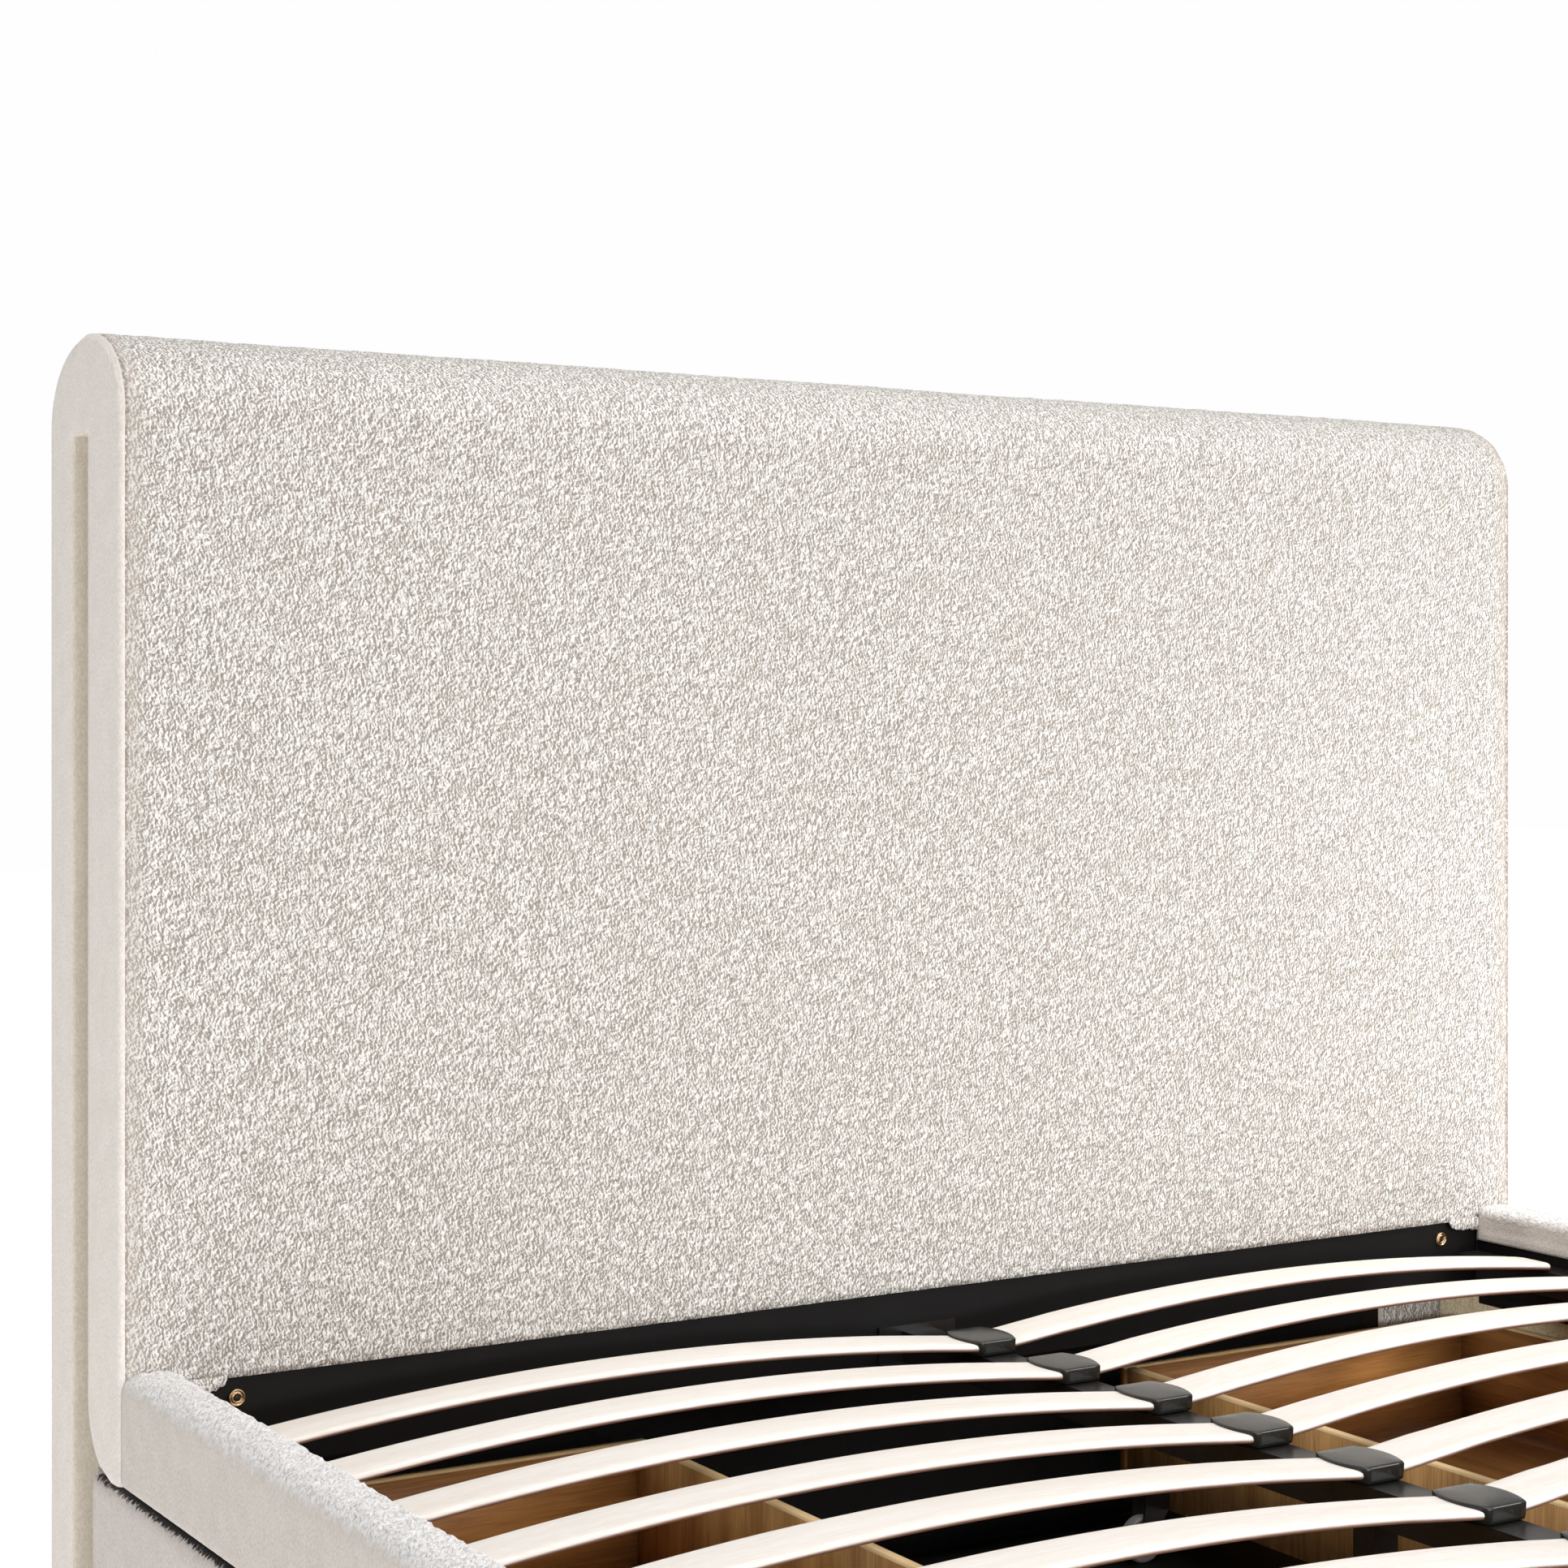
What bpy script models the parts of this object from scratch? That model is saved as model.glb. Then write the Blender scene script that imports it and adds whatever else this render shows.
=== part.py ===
"""Upholstered storage bed: a bullnose headboard, padded rails, bowed slats and four wheeled drawers.

Metres, +Z up, +Y towards the wall behind the headboard. The origin is on the floor, in the middle of the bed.
"""

import math

import bpy
import bmesh
from mathutils import Matrix, Vector

# Overall sizes
BED_WIDTH = 1.635
BED_LENGTH = 2.285
HEADBOARD_HEIGHT = 1.213
RAIL_TOP = 0.320

# Headboard
HEADBOARD_THICKNESS = 0.195
FRONT_LIMB = 0.088
GROOVE_WIDTH = 0.039
GROOVE_INSET = 0.035
GROOVE_TOP_DROP = 0.0855
BULLNOSE_RISE = 0.075
LIMB_CORNER_RADIUS = 0.060
FRONT_PADDING = 0.020
PADDING = 0.012
SIDE_PADDING = 0.014
COVER_FLOOR_GAP = 0.010
FABRIC_BELOW_RAIL_TOP = 0.015
PANEL_BELOW_GROOVE_TOP = 0.0225

# Rails
RAIL_DEPTH = 0.096
RAIL_THICKNESS = 0.0495
RAIL_OUTER_PADDING = 0.0145
RAIL_TOP_PADDING = 0.018
RAIL_INNER_FABRIC = 0.005
RAIL_INNER_FABRIC_DROP = 0.025
RAIL_OUTER_RADIUS = 0.016
RAIL_INNER_RADIUS = 0.005
FOOT_RAIL_THICKNESS = 0.050

# Cross rail, its bolts and the bracket of the centre rail
CROSS_RAIL_RECESS = 0.004
BOLT_HEAD_RADIUS = 0.0075
BOLT_HEAD_THICKNESS = 0.003
BOLT_SHANK_RADIUS = 0.003
BOLT_SOCKET_RADIUS = 0.0027
BOLT_SOCKET_DEPTH = 0.0018
BOLT_INSET = 0.055
BOLT_BELOW_FABRIC = 0.018
BRACKET_WIDTH = 0.091
BRACKET_ABOVE_SLAT_SEAT = 0.002
BRACKET_PLATE = 0.0025
BRACKET_LIP = 0.035

# Steel under the slats
STEEL = 0.003
LEDGER_SHELF = 0.030
LEDGER_FLANGE = 0.034
CENTRE_RAIL_WIDTH = 0.036
CENTRE_RAIL_HEIGHT = 0.030
CENTRE_RAIL_WALL = 0.002
LEG_SIZE = 0.025
LEG_FOOT_RADIUS = 0.017
LEG_FOOT_HEIGHT = 0.008
LEG_COUNT = 2
END_LEG_INSET = 0.655

# Slats
SLAT_ROWS = 15
FIRST_SLAT_FROM_HEAD = 0.1075
LAST_SLAT_FROM_FOOT = 0.0803
SLAT_WIDTH = 0.055
SLAT_THICKNESS = 0.008
SLAT_SEAT_BELOW_RAIL_TOP = 0.050
SLAT_BOW = 0.023
SLAT_INNER_END = 0.019
SLAT_SHELF_OVERLAP = 0.010
HOLDER_HALF_WIDTH = 0.022
HOLDER_WALL = 0.0035

# Drawers
DRAWERS_PER_SIDE = 2
DRAWER_FRONT_BELOW_RAIL = 0.006
DRAWER_FRONT_BOTTOM = 0.022
DRAWER_FRONT_THICKNESS = 0.030
DRAWER_FRONT_RADIUS = 0.007
DRAWER_FRONT_GAP = 0.004
DRAWER_BOX_BELOW_RAIL = 0.037
DRAWER_BACK_FROM_CENTRE = 0.289
DRAWER_WALL = 0.012
DRAWER_FLOOR = 0.006
DRAWER_FLOOR_LIFT = 0.006
DRAWER_SIDE_MARGIN = 0.043

# Wheels and their brackets
WHEEL_RADIUS = 0.024
WHEEL_WIDTH = 0.014
WHEEL_FLOOR_GAP = 0.0005
WHEEL_CHAMFER = 0.0015
WHEEL_UNDER_BOX_GAP = 0.0035
AXLE_RADIUS = 0.0025
CHEEK = 0.003
CHEEK_GAP = 0.0012
CHEEK_REACH = 0.006
WHEEL_FROM_BOX_END = 0.072
WHEEL_UNDER_FRONT = 0.060
BRACKET_BASE = 0.003
BRACKET_RISE = 0.028

# Clearances
SEAT_GAP = 0.0003
CUT_PAST = 0.02
WELD = 0.00001

HALF_WIDTH = BED_WIDTH / 2
BACK_Y = BED_LENGTH / 2
HEAD_Y = BACK_Y - HEADBOARD_THICKNESS
FOOT_Y = -BED_LENGTH / 2
FOOT_INNER_Y = FOOT_Y + FOOT_RAIL_THICKNESS
RAIL_INNER_X = HALF_WIDTH - RAIL_THICKNESS
GROOVE_TOP = HEADBOARD_HEIGHT - GROOVE_TOP_DROP
PANEL_TOP = GROOVE_TOP - PANEL_BELOW_GROOVE_TOP
RAIL_BOTTOM = RAIL_TOP - RAIL_DEPTH
FABRIC_BOTTOM = RAIL_TOP - FABRIC_BELOW_RAIL_TOP
LIMB_RADIUS = min(LIMB_CORNER_RADIUS, FRONT_LIMB - FRONT_PADDING - PADDING / 2)
BOLT_HEIGHT = FABRIC_BOTTOM - BOLT_BELOW_FABRIC
SLAT_SEAT_HEIGHT = RAIL_TOP - SLAT_SEAT_BELOW_RAIL_TOP
SLAT_OUTER_END = RAIL_INNER_X - LEDGER_SHELF + SLAT_SHELF_OVERLAP
SUPPORT_TOP = SLAT_SEAT_HEIGHT - SEAT_GAP
CENTRE_RAIL_TOP = SUPPORT_TOP - HOLDER_WALL
CENTRE_RAIL_BOTTOM = CENTRE_RAIL_TOP - CENTRE_RAIL_HEIGHT
BRACKET_TOP = SLAT_SEAT_HEIGHT + BRACKET_ABOVE_SLAT_SEAT
AXLE_HEIGHT = WHEEL_FLOOR_GAP + WHEEL_RADIUS
DRAWER_FRONT_TOP = RAIL_BOTTOM - DRAWER_FRONT_BELOW_RAIL
DRAWER_BOX_TOP = RAIL_BOTTOM - DRAWER_BOX_BELOW_RAIL
DRAWER_BOX_BOTTOM = AXLE_HEIGHT + WHEEL_RADIUS + WHEEL_UNDER_BOX_GAP
SIDES = {"left": -1, "right": 1}

BOUCLE = ("cream_boucle", (0.86, 0.84, 0.80), 0.95, 0.0)
PANEL_WOOD = ("panel_plywood", (0.62, 0.48, 0.32), 0.70, 0.0)
BLACK_BOARD = ("black_board", (0.012, 0.012, 0.012), 0.60, 0.0)
BLACK_STEEL = ("black_steel", (0.020, 0.020, 0.022), 0.40, 0.6)
BIRCH = ("birch_slat", (0.88, 0.82, 0.73), 0.50, 0.0)
OAK = ("oak_drawer", (0.45, 0.27, 0.12), 0.50, 0.0)
BRASS = ("brass_bolt", (0.60, 0.42, 0.20), 0.30, 1.0)
GREY_PLASTIC = ("grey_wheel", (0.25, 0.25, 0.25), 0.50, 0.0)

# (local x, local y, local z) of an outline's own axes, as columns
ALONG_X = Matrix(((0, 0, 1, 0), (1, 0, 0, 0), (0, 1, 0, 0), (0, 0, 0, 1)))
ALONG_Y = Matrix(((1, 0, 0, 0), (0, 0, -1, 0), (0, 1, 0, 0), (0, 0, 0, 1)))


def clear_scene():
    for obj in list(bpy.data.objects):
        bpy.data.objects.remove(obj, do_unlink=True)


def new_collection(name, hidden=False):
    collection = bpy.data.collections.new(name)
    bpy.context.scene.collection.children.link(collection)
    collection.hide_render = hidden
    return collection


clear_scene()
PARTS = new_collection("storage_bed")
CUTTERS = new_collection("cutters", hidden=True)


def material(finish):
    name, colour, roughness, metallic = finish
    made = bpy.data.materials.get(name)
    if made is None:
        made = bpy.data.materials.new(name)
        made.use_nodes = True
        shader = made.node_tree.nodes["Principled BSDF"]
        shader.inputs["Base Color"].default_value = (*colour, 1.0)
        shader.inputs["Roughness"].default_value = roughness
        shader.inputs["Metallic"].default_value = metallic
    return made


def add_object(name, mesh, finish=None):
    """Links a mesh as a part, or as a cutter where it has no finish."""
    obj = bpy.data.objects.new(name, mesh)
    if finish is None:
        CUTTERS.objects.link(obj)
        obj.hide_render = True
        obj.display_type = "WIRE"
        return obj
    PARTS.objects.link(obj)
    if not mesh.materials:
        mesh.materials.append(material(finish))
    return obj


def box(name, low, high, finish=None):
    low, high = Vector(low), Vector(high)
    shape = bmesh.new()
    bmesh.ops.create_cube(shape, size=1.0)
    bmesh.ops.scale(shape, vec=high - low, verts=shape.verts)
    bmesh.ops.translate(shape, vec=(low + high) / 2, verts=shape.verts)
    mesh = bpy.data.meshes.new(name)
    shape.to_mesh(mesh)
    shape.free()
    return add_object(name, mesh, finish)


def cylinder(name, radius, low, high, sides=16, finish=None):
    """A cylinder along the line from low to high."""
    low, high = Vector(low), Vector(high)
    shape = bmesh.new()
    bmesh.ops.create_cone(shape, cap_ends=True, segments=sides, radius1=radius, radius2=radius,
                          depth=(high - low).length)
    turn = (high - low).to_track_quat("Z", "Y").to_matrix().to_4x4()
    shape.transform(Matrix.Translation((low + high) / 2) @ turn)
    mesh = bpy.data.meshes.new(name)
    shape.to_mesh(mesh)
    shape.free()
    return add_object(name, mesh, finish)


def extruded(name, outline, low, high, axes, finish=None):
    """A flat outline, filled and drawn out between two places on the third of its axes."""
    curve = bpy.data.curves.new(name, "CURVE")
    curve.dimensions = "2D"
    curve.fill_mode = "BOTH"
    curve.extrude = (high - low) / 2
    spline = curve.splines.new("POLY")
    spline.points.add(len(outline) - 1)
    for point, (u, v) in zip(spline.points, outline):
        point.co = (u, v, 0, 1)
    spline.use_cyclic_u = True
    guide = bpy.data.objects.new(name + "_outline", curve)
    bpy.context.scene.collection.objects.link(guide)
    middle = (low + high) / 2 * (-1 if axes is ALONG_Y else 1)
    guide.matrix_world = axes @ Matrix.Translation((0, 0, middle))
    bpy.context.view_layer.update()
    evaluated = guide.evaluated_get(bpy.context.evaluated_depsgraph_get())
    mesh = bpy.data.meshes.new_from_object(evaluated)
    mesh.name = name
    shape = bmesh.new()
    shape.from_mesh(mesh)
    bmesh.ops.remove_doubles(shape, verts=shape.verts, dist=WELD)
    shape.to_mesh(mesh)
    shape.free()
    mesh.materials.clear()
    made = add_object(name, mesh, finish)
    made.matrix_world = guide.matrix_world
    bpy.data.objects.remove(guide, do_unlink=True)
    bpy.data.curves.remove(curve)
    return made


def turned(name, profile, steps, finish):
    """A profile in the local XZ plane, turned about local Z."""
    mesh = bpy.data.meshes.new(name)
    count = len(profile)
    closed = profile[0][0] > 0
    edges = [(i, i + 1) for i in range(count - 1)] + ([(count - 1, 0)] if closed else [])
    mesh.from_pydata([(r, 0, z) for r, z in profile], edges, [])
    obj = add_object(name, mesh, finish)
    screw = obj.modifiers.new("turn", "SCREW")
    screw.steps = steps
    screw.render_steps = steps
    screw.use_merge_vertices = True
    screw.merge_threshold = 0.0001
    screw.use_smooth_shade = True
    return obj


def boolean(obj, other, operation="DIFFERENCE"):
    modifier = obj.modifiers.new(operation.lower(), "BOOLEAN")
    modifier.operation = operation
    modifier.object = other


def bevel(obj, width, segments=2):
    modifier = obj.modifiers.new("bevel", "BEVEL")
    modifier.width = width
    modifier.segments = segments
    modifier.limit_method = "ANGLE"


def smooth(obj):
    obj.data.shade_smooth()
    obj.data.set_sharp_from_angle(angle=math.radians(35))


def arc(centre, radius_u, radius_v, start, end, steps):
    """Points on part of an ellipse, both ends included; the angles are in degrees."""
    turns = [math.radians(start + (end - start) * i / steps) for i in range(steps + 1)]
    return [(centre[0] + radius_u * math.cos(t), centre[1] + radius_v * math.sin(t)) for t in turns]


def headboard_profile():
    """The inverted U of the headboard, in (y, z), with its round top and the short front limb."""
    front, back = HEAD_Y, BACK_Y
    limb_back = front + FRONT_LIMB
    back_limb = limb_back + GROOVE_WIDTH
    corner = (limb_back - LIMB_RADIUS, RAIL_BOTTOM + LIMB_RADIUS)
    top = ((front + back) / 2, HEADBOARD_HEIGHT - BULLNOSE_RISE)
    points = [(front, RAIL_BOTTOM)]
    points += arc(corner, LIMB_RADIUS, LIMB_RADIUS, -90, 0, 6)
    points += [(limb_back, GROOVE_TOP), (back_limb, GROOVE_TOP)]
    points += [(back_limb, COVER_FLOOR_GAP), (back, COVER_FLOOR_GAP)]
    points += arc(top, HEADBOARD_THICKNESS / 2, BULLNOSE_RISE, 0, 180, 24)
    return points


def front_panel_profile(inset, bottom):
    """The panel inside the front limb, or its pocket, whose lower back corner follows the limb's."""
    front = HEAD_Y + FRONT_PADDING + inset
    back = HEAD_Y + FRONT_LIMB - PADDING - inset
    radius = LIMB_RADIUS - PADDING - inset
    corner = (HEAD_Y + FRONT_LIMB - LIMB_RADIUS, RAIL_BOTTOM + LIMB_RADIUS)
    points = [(front, bottom), (corner[0], bottom)]
    points += arc(corner, radius, radius, -90, 0, 5)
    return points + [(back, PANEL_TOP - inset), (front, PANEL_TOP - inset)]


def make_headboard():
    panel_half = HALF_WIDTH - SIDE_PADDING
    cover = extruded("headboard_cover", headboard_profile(), -HALF_WIDTH, HALF_WIDTH, ALONG_X, BOUCLE)
    pocket = extruded("front_pocket", front_panel_profile(0, RAIL_BOTTOM - CUT_PAST),
                      -panel_half, panel_half, ALONG_X)
    boolean(cover, pocket)
    back_front = HEAD_Y + FRONT_LIMB + GROOVE_WIDTH + PADDING
    back_back = BACK_Y - PADDING
    boolean(cover, box("back_pocket", (-panel_half, back_front, -CUT_PAST),
                       (panel_half, back_back, PANEL_TOP)))
    boolean(cover, box("cross_rail_rebate", (-RAIL_INNER_X, HEAD_Y - CUT_PAST, RAIL_BOTTOM - CUT_PAST),
                       (RAIL_INNER_X, HEAD_Y + FRONT_PADDING, FABRIC_BOTTOM)))
    smooth(cover)

    fit = panel_half - SEAT_GAP
    extruded("headboard_front_panel", front_panel_profile(SEAT_GAP, RAIL_BOTTOM + PADDING + SEAT_GAP),
             -fit, fit, ALONG_X, PANEL_WOOD)
    box("headboard_back_panel", (-fit, back_front + SEAT_GAP, 0),
        (fit, back_back - SEAT_GAP, PANEL_TOP - SEAT_GAP), PANEL_WOOD)
    groove = HEAD_Y + FRONT_LIMB
    spacer_half = HALF_WIDTH - GROOVE_INSET
    box("headboard_spacer", (-spacer_half, groove + SEAT_GAP, COVER_FLOOR_GAP),
        (spacer_half, groove + GROOVE_WIDTH - SEAT_GAP, GROOVE_TOP - SEAT_GAP), BOUCLE)


def make_cross_rail():
    """The black board that closes the headboard's foot between the rails, with its two bolts."""
    half = RAIL_INNER_X - SEAT_GAP
    face = HEAD_Y + CROSS_RAIL_RECESS
    back = HEAD_Y + FRONT_PADDING - SEAT_GAP
    rail = box("head_cross_rail", (-half, face, RAIL_BOTTOM),
               (half, back, FABRIC_BOTTOM - SEAT_GAP), BLACK_BOARD)
    head_top = BOLT_HEAD_THICKNESS
    chamfer = BOLT_HEAD_THICKNESS / 4
    shank = back - face - SEAT_GAP
    profile = [(0, head_top), (BOLT_HEAD_RADIUS - chamfer, head_top),
               (BOLT_HEAD_RADIUS, head_top - chamfer), (BOLT_HEAD_RADIUS, 0),
               (BOLT_SHANK_RADIUS, 0), (BOLT_SHANK_RADIUS, -shank), (0, -shank)]
    for side, sign in SIDES.items():
        x = sign * (RAIL_INNER_X - BOLT_INSET)
        hole = cylinder("bolt_hole_" + side, BOLT_SHANK_RADIUS + SEAT_GAP,
                        (x, face - CUT_PAST, BOLT_HEIGHT), (x, back + CUT_PAST, BOLT_HEIGHT))
        boolean(rail, hole)
        bolt = turned("connector_bolt_" + side, profile, 20, BRASS)
        bolt.location = (x, face - SEAT_GAP, BOLT_HEIGHT)
        bolt.rotation_euler = (math.radians(90), 0, 0)
        front = face - SEAT_GAP - BOLT_HEAD_THICKNESS
        socket = cylinder("bolt_socket_" + side, BOLT_SOCKET_RADIUS,
                          (x, front + BOLT_SOCKET_DEPTH, BOLT_HEIGHT), (x, front - CUT_PAST, BOLT_HEIGHT),
                          sides=6)
        boolean(bolt, socket)


def make_side_rails():
    length_low = FOOT_INNER_Y + SEAT_GAP
    length_high = HEAD_Y - SEAT_GAP
    board_outer = HALF_WIDTH - RAIL_OUTER_PADDING
    inner_fabric = RAIL_INNER_X + RAIL_INNER_FABRIC
    fabric_end = RAIL_TOP - RAIL_INNER_FABRIC_DROP
    board_top = RAIL_TOP - RAIL_TOP_PADDING
    outer_corner = (HALF_WIDTH - RAIL_OUTER_RADIUS, RAIL_TOP - RAIL_OUTER_RADIUS)
    inner_corner = (RAIL_INNER_X + RAIL_INNER_RADIUS, RAIL_TOP - RAIL_INNER_RADIUS)
    cover = [(board_outer, RAIL_BOTTOM), (HALF_WIDTH, RAIL_BOTTOM)]
    cover += arc(outer_corner, RAIL_OUTER_RADIUS, RAIL_OUTER_RADIUS, 0, 90, 6)
    cover += arc(inner_corner, RAIL_INNER_RADIUS, RAIL_INNER_RADIUS, 90, 180, 3)
    cover += [(RAIL_INNER_X, fabric_end), (inner_fabric, fabric_end)]
    cover += [(inner_fabric, board_top), (board_outer, board_top)]
    inner = RAIL_INNER_X + SEAT_GAP
    step = inner_fabric + SEAT_GAP
    outer = board_outer - SEAT_GAP
    board = [(inner, RAIL_BOTTOM), (outer, RAIL_BOTTOM), (outer, board_top - SEAT_GAP),
             (step, board_top - SEAT_GAP), (step, fabric_end - SEAT_GAP), (inner, fabric_end - SEAT_GAP)]
    flange_low = SUPPORT_TOP - LEDGER_FLANGE
    shelf_low = SUPPORT_TOP - STEEL
    shelf_inner = RAIL_INNER_X - LEDGER_SHELF
    flange_inner = RAIL_INNER_X - STEEL
    ledger = [(shelf_inner, shelf_low), (flange_inner, shelf_low), (flange_inner, flange_low),
              (RAIL_INNER_X, flange_low), (RAIL_INNER_X, SUPPORT_TOP), (shelf_inner, SUPPORT_TOP)]
    for name, outline, finish in (("side_rail_cover_", cover, BOUCLE),
                                  ("side_rail_board_", board, BLACK_BOARD),
                                  ("slat_ledger_", ledger, BLACK_STEEL)):
        for side, sign in SIDES.items():
            points = [(sign * x, z) for x, z in outline][::sign]
            rail = extruded(name + side, points, length_low, length_high, ALONG_Y, finish)
            smooth(rail)


def make_foot_rail():
    cover = box("foot_rail_cover", (-HALF_WIDTH, FOOT_Y, COVER_FLOOR_GAP),
                (HALF_WIDTH, FOOT_INNER_Y, RAIL_TOP), BOUCLE)
    bevel(cover, RAIL_INNER_RADIUS)
    half = HALF_WIDTH - RAIL_OUTER_PADDING
    low_y = FOOT_Y + RAIL_OUTER_PADDING
    high_y = FOOT_INNER_Y - RAIL_INNER_FABRIC
    top = RAIL_TOP - RAIL_TOP_PADDING
    boolean(cover, box("foot_pocket", (-half, low_y, -CUT_PAST), (half, high_y, top)))
    box("foot_board", (-half + SEAT_GAP, low_y + SEAT_GAP, 0),
        (half - SEAT_GAP, high_y - SEAT_GAP, top - SEAT_GAP), PANEL_WOOD)


def make_centre_rail():
    """The square tube along the middle, the bracket at each end that carries it, and its legs."""
    head_face = HEAD_Y + CROSS_RAIL_RECESS - SEAT_GAP
    ends = {"head": (head_face, -1), "foot": (FOOT_INNER_Y + SEAT_GAP, 1)}
    lip_top = CENTRE_RAIL_BOTTOM - SEAT_GAP
    for end, (wall, way) in ends.items():
        plate = wall + way * BRACKET_PLATE
        tip = wall + way * BRACKET_LIP
        outline = [(wall, BRACKET_TOP), (plate, BRACKET_TOP), (plate, lip_top), (tip, lip_top),
                   (tip, lip_top - BRACKET_PLATE), (wall, lip_top - BRACKET_PLATE)]
        extruded("centre_rail_bracket_" + end, outline[::way], -BRACKET_WIDTH / 2, BRACKET_WIDTH / 2,
                 ALONG_X, BLACK_STEEL)
    low_y = FOOT_INNER_Y + SEAT_GAP * 2 + BRACKET_PLATE
    high_y = head_face - BRACKET_PLATE - SEAT_GAP
    half = CENTRE_RAIL_WIDTH / 2
    rail = box("centre_rail", (-half, low_y, CENTRE_RAIL_BOTTOM), (half, high_y, CENTRE_RAIL_TOP), BLACK_STEEL)
    bore = half - CENTRE_RAIL_WALL
    boolean(rail, box("centre_rail_bore", (-bore, low_y - CUT_PAST, CENTRE_RAIL_BOTTOM + CENTRE_RAIL_WALL),
                      (bore, high_y + CUT_PAST, CENTRE_RAIL_TOP - CENTRE_RAIL_WALL)))

    first = HEAD_Y - END_LEG_INSET
    last = FOOT_INNER_Y + END_LEG_INSET
    size = LEG_SIZE / 2
    for i in range(LEG_COUNT):
        y = first + (last - first) * i / (LEG_COUNT - 1)
        leg = box(f"centre_leg_{i + 1}", (-size, y - size, LEG_FOOT_HEIGHT / 2),
                  (size, y + size, CENTRE_RAIL_BOTTOM - SEAT_GAP), BLACK_STEEL)
        foot = cylinder(f"leg_foot_{i + 1}", LEG_FOOT_RADIUS, (0, y, 0), (0, y, LEG_FOOT_HEIGHT), 20)
        boolean(leg, foot, "UNION")


def bowed(z_ends, low_x, high_x, steps=8):
    """Points along the arc of a slat's face, rising by the bow in the middle."""
    half = (high_x - low_x) / 2
    radius = (half * half + SLAT_BOW * SLAT_BOW) / (2 * SLAT_BOW)
    spread = math.degrees(math.asin(half / radius))
    centre = ((low_x + high_x) / 2, z_ends + SLAT_BOW - radius)
    return arc(centre, radius, radius, 90 + spread, 90 - spread, steps)


def slat_row_profile():
    """One row in (x, z): a bowed slat each side of the holder that sits on the centre rail."""
    under = bowed(SLAT_SEAT_HEIGHT, SLAT_INNER_END, SLAT_OUTER_END)
    upper = bowed(SLAT_SEAT_HEIGHT + SLAT_THICKNESS, SLAT_INNER_END, SLAT_OUTER_END)
    holder_low = SLAT_SEAT_HEIGHT - HOLDER_WALL
    holder_high = SLAT_SEAT_HEIGHT + SLAT_THICKNESS + HOLDER_WALL
    right = [(HOLDER_HALF_WIDTH, holder_low)]
    right += [p for p in under if p[0] > HOLDER_HALF_WIDTH]
    right += [p for p in upper[::-1] if p[0] > HOLDER_HALF_WIDTH]
    right += [(HOLDER_HALF_WIDTH, holder_high)]
    return right + [(-x, z) for x, z in right[::-1]]


def make_slats():
    mesh = None
    first = HEAD_Y - FIRST_SLAT_FROM_HEAD
    last = FOOT_INNER_Y + LAST_SLAT_FROM_FOOT
    for i in range(SLAT_ROWS):
        y = first + (last - first) * i / (SLAT_ROWS - 1)
        name = f"slat_row_{i + 1:02d}"
        if mesh is None:
            row = extruded(name, slat_row_profile(), -SLAT_WIDTH / 2, SLAT_WIDTH / 2, ALONG_Y, BIRCH)
            smooth(row)
            mesh = row.data
        else:
            row = add_object(name, mesh, BIRCH)
        row.matrix_world = Matrix.Translation((0, y, 0)) @ ALONG_Y


def cheek_outline(x, behind):
    """A bracket's cheek in (x, z): round below the axle, and reaching into the box that it hangs from."""
    z = AXLE_HEIGHT
    r = CHEEK_REACH
    if not behind:
        seat = DRAWER_BOX_BOTTOM + DRAWER_FLOOR_LIFT / 2
        return arc((x, z), r, r, 180, 360, 4) + [(x + 2 * r, seat), (x - 2 * r, seat)]
    inside = DRAWER_BACK_FROM_CENTRE + DRAWER_WALL / 2
    low = DRAWER_BOX_BOTTOM + DRAWER_FLOOR_LIFT / 2
    high = DRAWER_BOX_BOTTOM + BRACKET_RISE
    return arc((x, z), r, r, 150, 330, 4) + [(inside, low), (inside, high), (x + r, high)]


def wheel_places(half_length):
    """(x, y, whether it is behind the box) of a right-hand drawer's wheels, from the box's middle."""
    behind = DRAWER_BACK_FROM_CENTRE - WHEEL_RADIUS - BRACKET_BASE - CHEEK_GAP
    under = HALF_WIDTH - DRAWER_FRONT_THICKNESS - WHEEL_UNDER_FRONT
    y = half_length - WHEEL_FROM_BOX_END
    return [(behind, y, True), (behind, -y, True), (under, y, False), (under, -y, False)]


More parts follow.
